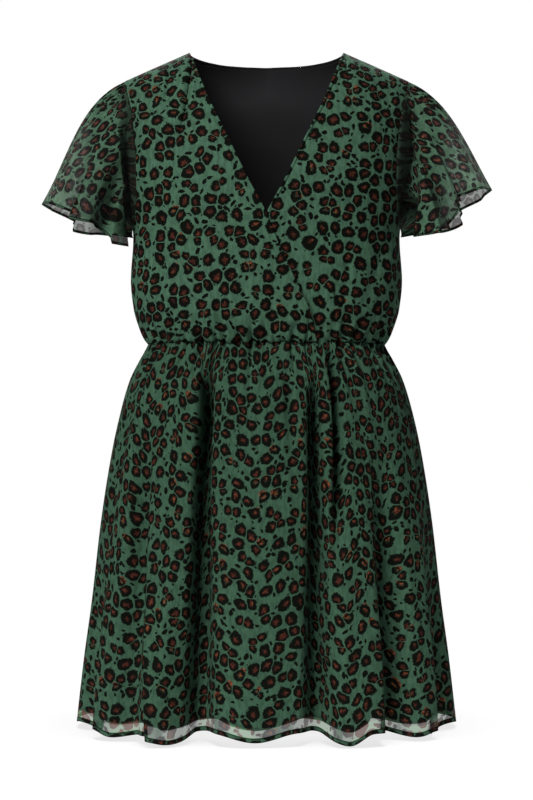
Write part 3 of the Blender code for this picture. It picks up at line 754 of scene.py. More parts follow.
def front_grid(side, rows_below=70, rows_above=94, columns=196):
    """Places of a front, seen from the front; side -1 is the wearer's right."""
    level = np.linspace(WAIST_Z, UNDERARM_Z, rows_below)
    climb = np.sin(np.linspace(0, math.pi / 2, rows_above + 1)[1:])
    outer_z = np.concatenate((level, UNDERARM_Z + (-SHOULDER_DROP - UNDERARM_Z) * climb))
    inner_z = np.concatenate((level, UNDERARM_Z * (1 - climb)))
    half_outer = read(BODICE_SECTIONS, "half_width", outer_z)
    half_inner = read(BODICE_SECTIONS, "half_width", inner_z)
    outer_x = np.where(outer_z <= UNDERARM_Z, half_outer, read(ARMHOLE, "front", outer_z))
    inner_x = read(FRONT_EDGE, "across", inner_z)
    first = np.arccos(np.clip(outer_x / half_outer, -1, 1))
    last = np.arccos(inner_x / half_inner)
    share = np.concatenate((
        np.linspace(0, 0.965, columns - 14), np.linspace(0.965, 1, 15)[1:]
    ))
    cosines = np.cos(first[:, None] + (last - first)[:, None] * share)
    part = (cosines[:, :1] - cosines) / (cosines[:, :1] - cosines[:, -1:])
    x = side * (outer_x[:, None] + (inner_x - outer_x)[:, None] * part)
    z = outer_z[:, None] + (inner_z - outer_z)[:, None] * part
    return x, z


def edge_roll(points, normals, share):
    """A front's turned and stitched edge: a slim roll with a groove behind it."""
    across = running(lengths(points, 1), 1)
    inwards = across[:, -1:] - across
    roll = EDGE_ROLL * np.exp(-((inwards - ROLL_PLACE) / ROLL_WIDTH) ** 2)
    groove = 0.6 * EDGE_ROLL * np.exp(-((inwards - GROOVE_PLACE) / GROOVE_WIDTH) ** 2)
    return points + normals * ((roll - groove) * share)[..., None]


def front_cloth(side, creases, laps):
    x, z = front_grid(side)
    points = finish_bodice(x, z, -1, FRONT_GATHERS, FRONT_PUCKERS, creases, 2.1 + side)
    normals = grid_normals(points)
    near_seam = ease(0.001, 0.022, shoulder_line(x) - z)
    points = points + normals * (lap_height(laps, x, z) * near_seam)[..., None]
    points = edge_roll(points, normals, near_seam)
    if side < 0:
        rise = OVERLAP_RISE * ease(*OVERLAP_ACROSS, x) * (1 - ease(*OVERLAP_HEIGHTS, z))
        points[..., 1] -= rise
    else:
        beyond = x + read(FRONT_EDGE, "across", z)
        hollow = WRAP_HOLLOW * np.exp(-((beyond - 0.003) / 0.008) ** 2)
        points[..., 1] += hollow * (1 - ease(-0.262, -0.236, z))
    points[..., 1] -= SEAM_GAP / 2
    return points, bodice_uv(x, z, -1)


def back_top(x):
    neck = -BACK_NECK_DROP * (1 - (np.abs(x) / NECK_HALF) ** BACK_NECK_FLATNESS)
    return np.where(np.abs(x) > NECK_HALF, shoulder_line(x), neck)


def back_grid(foot, edge_inset, top_inset, rows_below=60, rows_above=76, columns=232):
    """Places of the back, seen from the front, with its columns even across the neck."""
    level = np.linspace(foot, UNDERARM_Z, rows_below)
    level = np.concatenate((level, np.full(rows_above, UNDERARM_Z)))
    climb = np.concatenate((
        np.zeros(rows_below),
        np.sin(np.linspace(0, math.pi / 2, rows_above + 1)[1:]),
    ))
    edge_z = level + (-SHOULDER_DROP - level) * climb
    half_width = read(BODICE_SECTIONS, "half_width", edge_z)
    edge_x = np.where(edge_z <= UNDERARM_Z, half_width, read(ARMHOLE, "back", edge_z))
    first = np.arccos(np.clip((edge_x - edge_inset) / half_width, -1, 1))
    middle = math.pi / 2
    even = first + (middle - first) * SHOULDER_SHARE
    turn = even + (np.arccos(NECK_HALF / half_width) - even) * climb
    share = np.linspace(-1, 1, columns)
    on = (1 - np.abs(share)) / SHOULDER_SHARE
    past = (on - 1) * SHOULDER_SHARE / (1 - SHOULDER_SHARE)
    angles = np.where(
        on < 1,
        first[:, None] + (turn - first)[:, None] * on,
        turn[:, None] + (middle - turn)[:, None] * past,
    )
    x = half_width[:, None] * np.cos(angles) * np.where(share < 0, -1, 1)
    z = level[:, None] + (back_top(x) - top_inset - level[:, None]) * climb[:, None]
    return x, z


def back_cloth():
    x, z = back_grid(WAIST_Z, 0, 0)
    points = finish_bodice(x, z, 1, BACK_GATHERS, BACK_PUCKERS, BACK_CREASES, 2.9)
    points[..., 1] += SEAM_GAP / 2
    below_arm = 0.1 + 0.9 * ease(-0.236, -0.252, points[:, :1, 2])
    return side_allowances(points, bodice_uv(x, z, 1), below_arm)


def back_lining():
    x, z = back_grid(BACK_LINING_FOOT, BACK_LINING_INSET, BACK_LINING_DROP, 40, 50, 150)
    points = bodice_points(x, z, 1)
    near_neck = ease(-0.06, -0.01, z - back_top(x))
    inside = BACK_LINING_DEPTH - BACK_LINING_RISE * near_neck
    points = points - grid_normals(points) * inside[..., None]
    return points, bodice_uv(x, z, 1)


# ---- the skirt

def bands_shift(bands, angle, z):
    """How far the bands move the cloth out and on round, at angles in degrees."""
    out = np.zeros_like(angle)
    aside = np.zeros_like(angle)
    for band in bands:
        reach = np.clip((band.start - z) / (band.start - HEM_Z), 0, 1)
        left = band.left_top + (band.left_hem - band.left_top) * reach
        right = band.right_top + (band.right_hem - band.right_top) * reach
        rise = band.rise + (band.rise_hem - band.rise) * reach
        rise = rise * ease(0, band.growth, band.start - z)
        if band.end > HEM_Z:
            rise = rise * (1 - ease(0, 0.14, band.end + 0.14 - z))
        spread = 1 + (VALLEY_SPREAD * reach ** 2 if band.rise < 0 else 0)
        from_left = (angle - left) / (band.left_width * spread)
        from_right = (angle - right) / (band.right_width * spread)
        out = out + rise * (np.tanh(from_left) - np.tanh(from_right)) / 2
        crest = 0.9 if band.rise > 0 else -0.9
        if band.left_width < band.right_width:
            over = -np.sign(crest) * np.exp(-((from_left - crest) / 1.4) ** 2)
        else:
            over = np.sign(crest) * np.exp(-((from_right + crest) / 1.4) ** 2)
        aside = aside + band.lean * np.abs(rise) * over
    return out, aside


def blurred_down(values, z, reach):
    """Values averaged over the rows near each one, so that a print isn't skewed by folds."""
    level = z[:, 0]
    weight = np.exp(-((level[:, None] - level[None, :]) / reach) ** 2)
    weight = weight * np.abs(np.gradient(level))
    return (weight / weight.sum(axis=1, keepdims=True)) @ values


def skirt_form(angle, z, face):
    """Points of the skirt's plain form, at angles in radians."""
    half_width = read(SKIRT_SECTIONS, "half_width", z)
    depth = read(SKIRT_SECTIONS, "front" if face < 0 else "back", z)
    x = -half_width * np.cos(angle)
    y = face * depth * rounded(np.cos(angle))
    return joined(x, y, z), unit(joined(x / half_width ** 2, y / depth ** 2, 0 * x))


def skirt_grid(columns, foot, rows=150):
    """Angles in radians and heights of a skirt's half, closer together near the waist."""
    share = np.linspace(0, 1, rows)
    z = WAIST_Z + (foot - WAIST_Z) * (0.62 * share + 0.38 * share ** 2)
    angle = np.linspace(0, math.pi, columns)
    return np.meshgrid(angle, z)


def skirt_shift(angle, z, count, face, bands, puckers):
    drop = WAIST_Z - z
    out, aside = bands_shift(bands, np.degrees(angle), z)
    out = out + waist_wave(angle, count, puckers, drop)
    flat = ease(0, 0.3, np.sin(angle))
    soft = flat * ease(0.01, 0.12, drop)
    out = out + SKIRT_WANDER * soft * wander(angle * 13, z, 1, 2 * face)
    out = out + SKIRT_RIPPLE * soft * wander(angle * 31, z, 1, 0.7 * face)
    return out, aside


def settled(points, angle, z, face, hem):
    """The skirt's points with the wander of its hem and its seam, clear of their neighbours."""
    reach = (WAIST_Z - z) / (WAIST_Z - HEM_Z)
    rise = read(hem, "height", np.degrees(angle), by="angle") - HEM_Z
    points[..., 1] += face * SEAM_GAP / 2
    points[..., 2] += rise * reach ** 4 + seam_wave(angle, WAIST_Z - z) - SEAM_GAP
    return points


def turned_under(points, uv, outwards, face, up):
    """The skirt with its allowances, at the waist and at the sides of its back."""
    under = up * np.array((0, 0, 1)) - ALLOWANCE_DEPTH * outwards[:1]
    points, uv = with_allowance(points, uv, "top", under)
    if face > 0:
        return side_allowances(points, uv, np.ones((len(points), 1)))
    return points, uv


def skirt_cloth(count, face, bands, puckers, hem):
    angle, z = skirt_grid(540, HEM_Z)
    form, outwards = skirt_form(angle, z, face)
    out, aside = skirt_shift(angle, z, count, face, bands, puckers)
    onwards = unit(np.gradient(form, axis=1))
    points = form + outwards * out[..., None] + onwards * aside[..., None]
    points = settled(points, angle, z, face, hem)
    down = running(lengths(points, 0), 0)
    across = running(lengths(points, 1), 1)
    across = across - across[:, across.shape[1] // 2][:, None]
    across = blurred_down(across, z, PRINT_BLUR)
    uv = joined(0.4 * across[-1] + 0.6 * across, down[-1] - down)
    return turned_under(points, uv, outwards, face, ALLOWANCE)


def lowest_nearby(values, reach):
    """The least value within some columns of each one."""
    padded = np.pad(values, ((0, 0), (reach, reach)), mode="edge")
    shifted = [padded[:, i:i + values.shape[1]] for i in range(2 * reach + 1)]
    return np.min(shifted, axis=0)


def skirt_lining(count, face, bands, puckers, hem):
    angle, z = skirt_grid(120, HEM_Z + LINING_HEM_RISE, 80)
    form, outwards = skirt_form(angle, z, face)
    out, _ = skirt_shift(angle, z, count, face, bands, puckers)
    deeper = LINING_DEPTH * ease(-0.004, 0.03, WAIST_Z - z)
    inside = lowest_nearby(out, 2) - deeper - LINING_CLEARANCE
    edge = ease(0, 0.12, np.sin(angle))
    points = form + outwards * (inside * edge - SIDE_INSET * (1 - edge))[..., None]
    points = settled(points, angle, z, face, hem)
    down = running(lengths(points, 0), 0)
    uv = joined(running(lengths(points, 1), 1), down[-1] - down)
    return turned_under(points, uv, outwards, face, 2 * ALLOWANCE)


# ---- the sleeves

def armhole_points(angle):
    drop = (1 - np.cos(angle)) / 2
    z = -SHOULDER_DROP + (UNDERARM_Z + SHOULDER_DROP) * drop
    in_front = bodice_points(read(ARMHOLE, "front", z), z, -1)
    behind = bodice_points(read(ARMHOLE, "back", z), z, 1)
    return np.where((np.sin(angle) >= 0)[..., None], in_front, behind)


def sleeve_start(angle):
    """The sleeve's seam; its cloth hangs a little round from where it is sewn."""
    return armhole_points(angle - SLEEVE_HANG * np.sin(angle))


def sleeve_direction(direction, angle):
    top = (1 + np.cos(angle)) / 2
    out = direction.under_out + (direction.top_out - direction.under_out) * top
    up = direction.under_up + (direction.top_up - direction.under_up) * top
    return unit(joined(out, -direction.spread * np.sin(angle), up))


def sleeve_form(angle, along, cuff):
    """The sleeve with no flutes, on the wearer's left; along is 0 to 1, down to the mouth."""
    leave = sleeve_direction(SLEEVE_LEAVES, angle)
    arrive = sleeve_direction(SLEEVE_ARRIVES, angle)
    top = (1 + np.cos(angle)) / 2
    start = sleeve_start(angle) + leave * SLEEVE_OFFSET
    end = joined(
        CUFF_CENTRE_X + CUFF_HALF_WIDTH * np.cos(angle),
        CUFF_CENTRE_Y - CUFF_HALF_DEPTH * np.sin(angle),
        read(cuff, "height", np.degrees(angle) % 360, by="angle"),
    )
    length = np.linalg.norm(end - start, axis=-1)[..., None]
    fullness = (SLEEVE_FULLNESS + SLEEVE_HEAD_FULLNESS * top ** 4)[..., None]
    return hermite(along[..., None], start, length * fullness * leave, end, length * arrive)


def laid_on_sleeve(points, side):
    """Where the print lies on a sleeve: lengths round an upright axis, and up along it."""
    lower = ease(-0.05, -0.22, points[..., 2])
    from_axis = points[..., 0] - (SHOULDER_AXIS_X + (CUFF_CENTRE_X - SHOULDER_AXIS_X) * lower)
    turn = np.arctan2(CUFF_CENTRE_Y - points[..., 1], from_axis)
    round_axis = turn * (PRINT_RADIUS + PRINT_RADIUS_GROWTH * lower)
    return joined(side * round_axis, 0.95 * points[..., 2] - 0.35 * points[..., 0])


def seam_allowance(angle):
    """The edge of a sleeve, turned in under the bodice."""
    above = np.maximum(np.cos(angle), 0)
    body_out = unit(joined((1 - np.cos(angle)) / 2, -np.sin(angle), above))
    return (
        sleeve_start(angle) - sleeve_direction(SLEEVE_LEAVES, angle) * SLEEVE_TURNING
        - body_out * SLEEVE_TURNING_DEPTH
    )


def sleeve_cloth(side, cuff, gathers, hollow, columns=330, rows=84):
    turn = np.linspace(0, 360, columns, endpoint=False)
    down = np.linspace(0, 1, rows) ** 1.15
    degrees, along = np.meshgrid(turn, down)
    angle = np.radians(degrees)
    form = sleeve_form(angle, along, cuff)
    normals = grid_normals(form, closed=True)
    away = form[rows // 2, 0] - np.array((CUFF_CENTRE_X, CUFF_CENTRE_Y, form[rows // 2, 0, 2]))
    if np.dot(normals[rows // 2, 0], away) < 0:
        normals = -normals
    out = along * read(cuff, "out", degrees, by="angle")
    aside = along * read(cuff, "aside", degrees, by="angle")
    for gather in gathers:
        centre = gather.angle + gather.slant * along
        from_it = ((degrees - centre + 180) % 360 - 180) / (gather.spread * (1 + along))
        fade = ease(0, 0.03, along) * (1 - ease(0.15 * gather.run, gather.run, along))
        out = out - GATHER_SCALE * gather.depth * fade * np.exp(-np.abs(from_it) ** 1.6)
    plain = form + normals * out[..., None]
    near = ease(hollow.top, hollow.top + 34, degrees) * (1 - ease(165, 200, degrees))
    from_seam = (form[..., 0] - form[0, :, 0]) / hollow.width
    near = near * ease(0.02, 0.35, from_seam) * (1 - ease(0.65, 1.1, from_seam))
    out = out - hollow.depth * near
    out = out + SLEEVE_WANDER * along * wander(degrees / 9, along * 0.2, 1, side)
    onwards = unit(np.roll(form, -1, axis=1) - np.roll(form, 1, axis=1))
    points = form + normals * out[..., None] + onwards * aside[..., None]
    turned_in = seam_allowance(angle[0])[None]
    points = np.concatenate((turned_in, points))
    plain = np.concatenate((turned_in, plain))
    plain = np.concatenate((plain, plain[:, :1]), axis=1)
    across = running(lengths(plain, 1), 1)
    down = running(lengths(plain, 0), 0)
    flat = joined(side * (0.4 * across[-1] + 0.6 * across), down[-1] - down)
    laid = laid_on_sleeve(np.concatenate((points, points[:, :1]), axis=1), side)
    points[..., 0] *= side
    return points, np.concatenate((flat, laid), axis=-1)


# ---- turning grids into cloth

collection = bpy.data.collections.new("a_line_dress_cloth")
bpy.context.scene.collection.children.link(collection)


def cloth(name, shape, materials, node, wall=None, closed=False, flip=False):
    """A piece of cloth from a grid of points; with a wall it gets an inner side of its own.

    The last two columns of uv say where the print lies, and the first two where the hem is.
    """
    grid, uv = shape
    rows, columns = grid.shape[:2]
    numbers = np.arange(rows * columns).reshape(rows, columns)
    if closed:
        numbers = np.concatenate((numbers, numbers[:, :1]), axis=1)

    def corners(values):
        """The four corners of each face, in order round it."""
        four = [values[:-1, :-1], values[:-1, 1:], values[1:, 1:], values[1:, :-1]]
        return np.stack(four[::-1] if flip else four, axis=2)

    data = bpy.data.meshes.new(name)
    data.from_pydata(grid.reshape(-1, 3).tolist(), [], corners(numbers).reshape(-1, 4).tolist())
    places = corners(uv).reshape(-1, uv.shape[-1]).astype(np.float32)
    data.uv_layers.new(name="cloth").data.foreach_set("uv", places[:, :2].ravel())
    data.uv_layers.new(name="print").data.foreach_set("uv", places[:, -2:].ravel())
    data.shade_smooth()
    for material in materials:
        data.materials.append(material)
    piece = bpy.data.objects.new(name, data)
    collection.objects.link(piece)
    if wall:
        thicken = piece.modifiers.new("thickness", "SOLIDIFY")
        thicken.thickness = wall
        thicken.offset = 0
        thicken.material_offset = len(materials) - 1
    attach(piece, "root")
    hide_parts(node)


# ---- materials

Tones = namedtuple("Tones", "ground ink rust glow ember alphas")
SHEER_GROUND = (0.078, 0.180, 0.088, 1)   # the print where one layer hangs alone
SHEER_SPOT = (0.100, 0.056, 0.045, 1)
GREY = (0.5, 0.5, 0.5)
THREAD = 0.0013         # from the middle of a hem's stitched line to where it has faded
PRINT_CELL = 0.0196     # from one rosette of the print to the next; the rest count in cells
CELL_RANDOMNESS = 0.70
SLOW_WARP = 0.42        # how far the cells wander
FAST_WARP = 0.10
TEETH = 0.20            # how ragged the spots' edges are
LEAST_SPOT = 0.405      # radius of the smallest rosette, and how much more the largest has
SPOT_SPREAD = 0.13
DOTS_PER_CELL = 1.9     # places for small dots along one rosette's cell
DOT_GROWTH = 1.65       # of a small dot, with the room it has between the rosettes


class Link:
    """A node's output. Sums and products of links add maths nodes to their graph."""

    def __init__(self, graph, socket):
        self.graph = graph
        self.socket = socket
        self.is_number = socket.type == "VALUE"

    def __add__(self, other):
        return self.graph.maths("ADD", self, other)

    def __sub__(self, other):
        return self.graph.maths("SUBTRACT", self, other)

    def __rsub__(self, other):
        return self.graph.maths("SUBTRACT", other, self)

    def __mul__(self, other):
        return self.graph.maths("MULTIPLY", self, other)

    def __truediv__(self, other):
        return self.graph.maths("DIVIDE", self, other)

    def at_most(self, other):
        return self.graph.maths("MINIMUM", self, other)

    def at_least(self, other):
        return self.graph.maths("MAXIMUM", self, other)

    def step(self, low, high):
        """0 at low and 1 at high, with a smooth step between; low may be the greater."""
        return self.graph.node(
            "MapRange", {"interpolation_type": "SMOOTHSTEP"},
            Value=self, From_Min=low, From_Max=high,
        )["Result"]


class Outputs:
    """The outputs of a node, as links."""

    def __init__(self, graph, made):
        self.graph = graph
        self.made = made

    def __getitem__(self, key):
        return Link(self.graph, self.made.outputs[key])


class Graph:
    """A material's nodes. Inputs are named with _ for a space."""

    def __init__(self, name, **uniform):
        self.material = bpy.data.materials.new(name)
        self.material.use_nodes = True
        self.tree = self.material.node_tree
        self.shader = self.tree.nodes["Principled BSDF"]
        self.fill(self.shader, uniform)

    def put(self, socket, value):
        if isinstance(value, Link):
            self.tree.links.new(value.socket, socket)
        else:
            socket.default_value = value

    def fill(self, node, inputs):
        for key, value in inputs.items():
            self.put(node.inputs[key.replace("_", " ")], value)

    def shade(self, **inputs):
        """Link inputs of the shader, and give the material."""
        self.fill(self.shader, inputs)
        return self.material

    def node(self, kind, settings=None, **inputs):
        made = self.tree.nodes.new("ShaderNode" + kind)
        for key, value in (settings or {}).items():
            setattr(made, key, value)
        self.fill(made, inputs)
        return Outputs(self, made)

    def maths(self, operation, first, second=0):
        """Maths with numbers, or with vectors and colours where the first is one."""
        if not isinstance(first, Link) or first.is_number:
            made = self.node("Math", {"operation": operation})
            slot = 1
        elif operation == "MULTIPLY" and getattr(second, "is_number", isinstance(second, (int, float))):
            made = self.node("VectorMath", {"operation": "SCALE"})
            slot = "Scale"
        else:
            made = self.node("VectorMath", {"operation": operation})
            slot = 1
        self.put(made.made.inputs[0], first)
        self.put(made.made.inputs[slot], second)
        return made[0]

    def blend(self, share, first, second):
        """A mix of two colours."""
        made = self.node("Mix", {"data_type": "RGBA"})
        for index, value in ((0, share), (6, first), (7, second)):
            self.put(made.made.inputs[index], value)
        return made[2]

    def noise(self, vector, scale, detail=1, output=0):
        return self.node(
            "TexNoise", {"noise_dimensions": "2D"},
            Vector=vector, Scale=scale, Detail=detail,
        )[output]

    def cells(self, vector, feature="F1", randomness=CELL_RANDOMNESS):
        return self.node(
            "TexVoronoi", {"voronoi_dimensions": "2D", "feature": feature},
            Vector=vector, Scale=1, Randomness=randomness,
        )

    def uv(self, name):
        return self.node("UVMap", {"uv_map": name})[0]

    def split(self, colour):
        return self.node("SeparateColor", Color=colour)

    def parts(self, vector):
        """A vector's lengths across and up."""
        made = self.node("SeparateXYZ", Vector=vector)
        return made[0], made[1]


def shade_of(colour, share):
    return [min(1, c * share) for c in colour[:3]] + [1]


def weave(graph, place, strength):
    """A fine crepe grain, as bump and as a slight mottling of the colour."""
    grain = graph.noise(place, 900, 2)
    threads = graph.node(
        "TexWave", {"wave_type": "BANDS", "bands_direction": "DIAGONAL"},
        Vector=place, Scale=260, Distortion=2,
    )["Fac"]
    bump = graph.node("Bump", Strength=strength, Distance=0.0004, Height=grain + threads * 0.5)
    graph.shade(Normal=bump[0])
    return grain


def spot_radius(own):
    return own[0] * SPOT_SPREAD + LEAST_SPOT


def oval(about, tilt, stretch):
    """Distance from a spot's middle, shorter across the oval than along it."""
    graph = about.graph
    across, up = graph.parts(about)
    turn = tilt * math.pi
    run = up * graph.maths("SINE", turn) + across * graph.maths("COSINE", turn)
    return graph.maths("SQRT", across * across + up * up + run * run * stretch)


def lobes(about, count, phase):
    """A wave between -1 and 1 round a spot's middle."""
    graph = about.graph
    across, up = graph.parts(about)
    return graph.maths("SINE", phase * 19 + graph.maths("ARCTAN2", up, across) * count)


def animal_print(graph, cell):
    """Where the print is dark, where it is warm, and two waves that tint the warm parts."""
    slow = graph.noise(cell, 0.8, 1, "Color") - GREY
    fast = graph.noise(cell, 4.2, 1, "Color") - GREY
    bent = cell + slow * SLOW_WARP + fast * FAST_WARP
    teeth = graph.noise(cell, 8, 2) * TEETH - TEETH / 2
    ragged = graph.noise(cell, 11, 1) * TEETH - TEETH / 2

    # The rosettes: their edges, kept apart where two lie close together.
    nearest = graph.cells(bent)
    ratio = nearest["Distance"] / graph.cells(bent, "F2")["Distance"]
    room = graph.cells(bent, "N_SPHERE_RADIUS")["Radius"]
    own = graph.split(nearest["Color"])
    aside = nearest["Color"] - GREY
    from_seed = bent - nearest["Position"]
    stretch = own[1] * 0.6
    radius = spot_radius(own).at_most(room * 0.90 + 0.115)
    edge = oval(from_seed, own[2], stretch) + teeth
    edge = edge + lobes(from_seed, 5, own[0]) * 0.016 + lobes(from_seed, 3, own[2]) * 0.016
    inside = edge.step(radius + 0.05, radius - 0.03) * (ratio + teeth * 0.9).step(0.92, 0.82)

    # Their holes, off centre.
    hole_away = oval(from_seed - aside * 0.13, own[2], own[1] * 1.8) + ragged
    hole_away = hole_away + lobes(from_seed, 4, own[1]) * 0.045
    core = radius * (own[2] * 0.16 + 0.25)
    hole = hole_away.step(core + 0.11, core - 0.10)

    # A warm patch under each, which strays out of some.
    stray = own[1].step(0.80, 0.90) * 0.42 + 0.13
    patch_away = oval(from_seed - aside * stray, own[2], stretch) + ragged
    size = radius * 0.72
    patch = patch_away.step(size + 0.06, size - 0.06) * ratio.step(0.95, 0.85)
    patch = patch.at_least(hole * inside)

    # Small dots, where there is room between the rosettes.
    small = graph.cells(bent * DOTS_PER_CELL, "F1", 0.95)
    dot_at = small["Position"] * (1 / DOTS_PER_CELL)
    beside_it = graph.cells(dot_at)
    free = beside_it["Distance"] - spot_radius(graph.split(beside_it["Color"]))
    dot_own = graph.split(small["Color"])
    dot_away = teeth * 0.5 + oval(bent - dot_at, dot_own[2], 1.6)
    size = ((free - 0.02) * DOT_GROWTH).at_most(dot_own[0] * 0.11 + 0.14)
    dot = dot_away.step(size + 0.02, size - 0.02) * (edge - radius).step(0.02, 0.06)
    dot = dot * size.step(0.06, 0.08)

    dark = (inside * (1 - hole)).at_least(dot)
    glow = graph.noise(cell, 5.2, 2).step(0.42, 0.70)
    return dark, patch, glow, glow * own[1].step(0.62, 0.95)


def printed(name, offset, tones, sheer):
    """Chiffon with an animal print: dark rings with a rust middle, and small dark dots.

    sheer says where the cloth lets light through: "none", "band" (below the skirt's
    lining only) or "all".
    """
    graph = Graph(
        name, Roughness=0.80, Specular_IOR_Level=0.035, Sheen_Weight=0.004, Sheen_Roughness=0.5
    )
    place = graph.uv("cloth")
    cell = graph.uv("print") * (1 / PRINT_CELL) + offset
    dark, patch, glow, ember = animal_print(graph, cell)
    pale = shade_of(tones.ground, 1.16)
    deep = shade_of(tones.ground, 0.78)
    mottle = graph.noise(place * (1, 0.4, 1), 210, 3)
    base = graph.blend(mottle.step(0.30, 0.66), deep, pale)
    base = graph.blend(weave(graph, place, 0.35).step(0.52, 0.72), base, deep)
    warm = graph.blend(glow, tones.rust, tones.glow)
    warm = graph.blend(ember, warm, tones.ember)
    colour = graph.blend(patch, base, warm)
    colour = graph.blend(dark, colour, tones.ink)
    if sheer == "none":
        return graph.shade(Base_Color=colour)

    ground_alpha, rust_alpha, ink_alpha = tones.alphas
    alpha = patch * (rust_alpha - ground_alpha) + ground_alpha
    alpha = dark * (ink_alpha - alpha) + alpha
    height = graph.parts(place)[1]
    band = HEM_BAND if sheer == "band" else CUFF_BAND
    turned = height.step(band + 0.0004, band - 0.0004)
    line = graph.maths("ABSOLUTE", height - band).step(THREAD, 0.0006)
    line = line.at_least(height.step(0.0016, 0.0008))
    colour = graph.blend(line * 0.85, colour, tones.ink)
    if sheer == "band":
        stretched = place * (1, 0.15, 1)
        uneven = graph.noise(stretched, 11, 2) * 0.016 - 0.008
        lined = (height + uneven).step(LINING_HEM_RISE, LINING_HEM_RISE + 0.008)
        thick = graph.noise(stretched + (7.3, 0, 0), 14, 2).step(0.44, 0.62)
        lined = lined.at_least(thick * 0.86)
        spots = graph.blend(dark.at_least(patch), SHEER_GROUND, SHEER_SPOT)
        bare = 1 - lined.at_least(turned)
        colour = graph.blend(bare.step(0.5, 1), colour, spots)
    else:
        across = graph.parts(graph.node("TexCoord")["Object"])[0]
        from_body = graph.maths("ABSOLUTE", across)
        lined = from_body.step(0.318, 0.232) * 0.96
        colour = graph.blend(lined, colour, colour * (0.66, 0.60, 0.68))
        # Painted shade: within about 0.19 to 0.21 m of the middle, except near the mouth's edge, the
        # sleeve's colour is pulled most of the way to the print's ink, for the deep shadow in the
        # hollow between the sleeve and the body.
        painted_recess_shade = from_body.step(0.207, 0.190) * 0.75 * height.step(0.006, 0.026)
        colour = graph.blend(painted_recess_shade, colour, tones.ink)
    alpha = alpha.at_least(turned.at_least(line)).at_least(lined)
    return graph.shade(Base_Color=colour, Alpha=alpha)


def plain_lining(name, colour, low=0, high=0, gloss=0.30):
    """Black lining; if high is above low, it is painted darker towards the height low than at the
    height high, a painted shade.
    """
    graph = Graph(name, Roughness=0.55, Specular_IOR_Level=gloss, Sheen_Weight=gloss / 3)
    place = graph.uv("cloth")
    shade = graph.blend(weave(graph, place, 0.2), shade_of(colour, 0.7), colour)
    # Painted shade: from the height high down to low the colour falls to about a fifth of itself.
    if high > low:
        height = graph.parts(place)[1]
        shade = graph.blend(height.step(low, high), shade_of(colour, 0.22), shade)
    return graph.shade(Base_Color=shade)


LINED = Tones(
    ground=(0.046, 0.101, 0.063, 1),
    ink=(0.0022, 0.0030, 0.0018, 1),
    rust=(0.036, 0.010, 0.007, 1),
    glow=(0.085, 0.023, 0.013, 1),
    ember=(0.150, 0.050, 0.018, 1),
    alphas=(0.66, 0.74, 0.78),
)
# The skirt is the bodice's cloth over a black lining; its ground is darkened to about two thirds of the
# bodice's as painted shade over the skirt. Its alphas are its own.
SKIRT_WITH_PAINTED_SHADE = LINED._replace(ground=(0.031, 0.070, 0.043, 1), alphas=(0.64, 0.86, 0.86))
SHEER = Tones(
    ground=(0.076, 0.172, 0.094, 1),
    ink=(0.0050, 0.0060, 0.0040, 1),
    rust=(0.090, 0.032, 0.022, 1),
    glow=(0.150, 0.052, 0.030, 1),
    ember=(0.240, 0.090, 0.040, 1),
    alphas=(0.74, 0.80, 0.88),
)
BLACK = (0.0075, 0.0075, 0.0082, 1)

front_print = printed("front_print", (3.1, 5.2, 0), LINED, "none")
under_print = printed("under_front_print", (31.7, 18.4, 0), LINED, "none")
back_print = printed("back_print", (61.2, 2.9, 0), LINED, "none")
skirt_print = printed("skirt_print", (12.4, 71.3, 0), SKIRT_WITH_PAINTED_SHADE, "band")
sleeve_print = printed("sleeve_print", (44, 40.5, 0), SHEER, "all")
black_lining = plain_lining("black_lining", BLACK)
# The back's lining, seen inside the neck opening, with painted shade: darker towards its foot than at
# its top.
back_lining_painted_shade = plain_lining("black_back_lining_painted_shade", (0.0255, 0.0255, 0.0275, 1), 0.19, 0.46, 0.06)

# ---- the pieces

for label, side, material, creases, laps in (
    ("right", -1, front_print, RIGHT_FRONT_CREASES, RIGHT_FRONT_LAPS),
    ("left", 1, under_print, LEFT_FRONT_CREASES, LEFT_FRONT_LAPS),
):
    cloth("front_" + label + "_cloth", front_cloth(side, creases, laps),
          [material, black_lining], "bodice_front_" + label, BODICE_WALL,
          flip=side > 0)
cloth("back_cloth", back_cloth(), [back_print, black_lining], "bodice_back",
      BODICE_WALL, flip=True)
cloth("back_lining_cloth", back_lining(), [back_lining_painted_shade], "bodice_lining_back",
      LINING_WALL, flip=True)
for label, side, cuff, gathers, hollow in (
    ("right", -1, RIGHT_CUFF, RIGHT_SLEEVE_GATHERS, RIGHT_HOLLOW),
    ("left", 1, LEFT_CUFF, LEFT_SLEEVE_GATHERS, LEFT_HOLLOW),
):
    cloth("sleeve_" + label + "_cloth", sleeve_cloth(side, cuff, gathers, hollow),
          [sleeve_print], "sleeve_" + label, closed=True, flip=side > 0)
for label, *form in (
    ("front", FRONT_GATHERS, -1, FRONT_BANDS, FRONT_PUCKERS, FRONT_HEM),
    ("back", BACK_GATHERS, 1, BACK_BANDS, BACK_PUCKERS, BACK_HEM),
):
    in_front = label == "front"
    cloth("skirt_" + label + "_cloth", skirt_cloth(*form), [skirt_print], "skirt_" + label,
          flip=in_front)
    cloth("skirt_" + label + "_lining", skirt_lining(*form), [black_lining],
          "skirt_lining_" + label, LINING_WALL, flip=in_front)

# ---- studio, lights and camera

CAMERA_HEIGHT = -0.486
CAMERA_DISTANCE = 2.6
PHOTO_HEIGHT = 1.12     # height of the picture at the plane of the side seams
SENSOR = 36
FLOOR_Z = HEM_Z - 0.005
AMBIENT = 0.24
KEY_LIGHT = 3.9
BACK_LIGHT = 2.6
FLOOR_LIGHT = 3.15
UNDER_LIGHT = 0.06      # inside the skirt, just above its hem
FLOOR_GLOW = 0.74       # keeps the shadow on the white floor faint


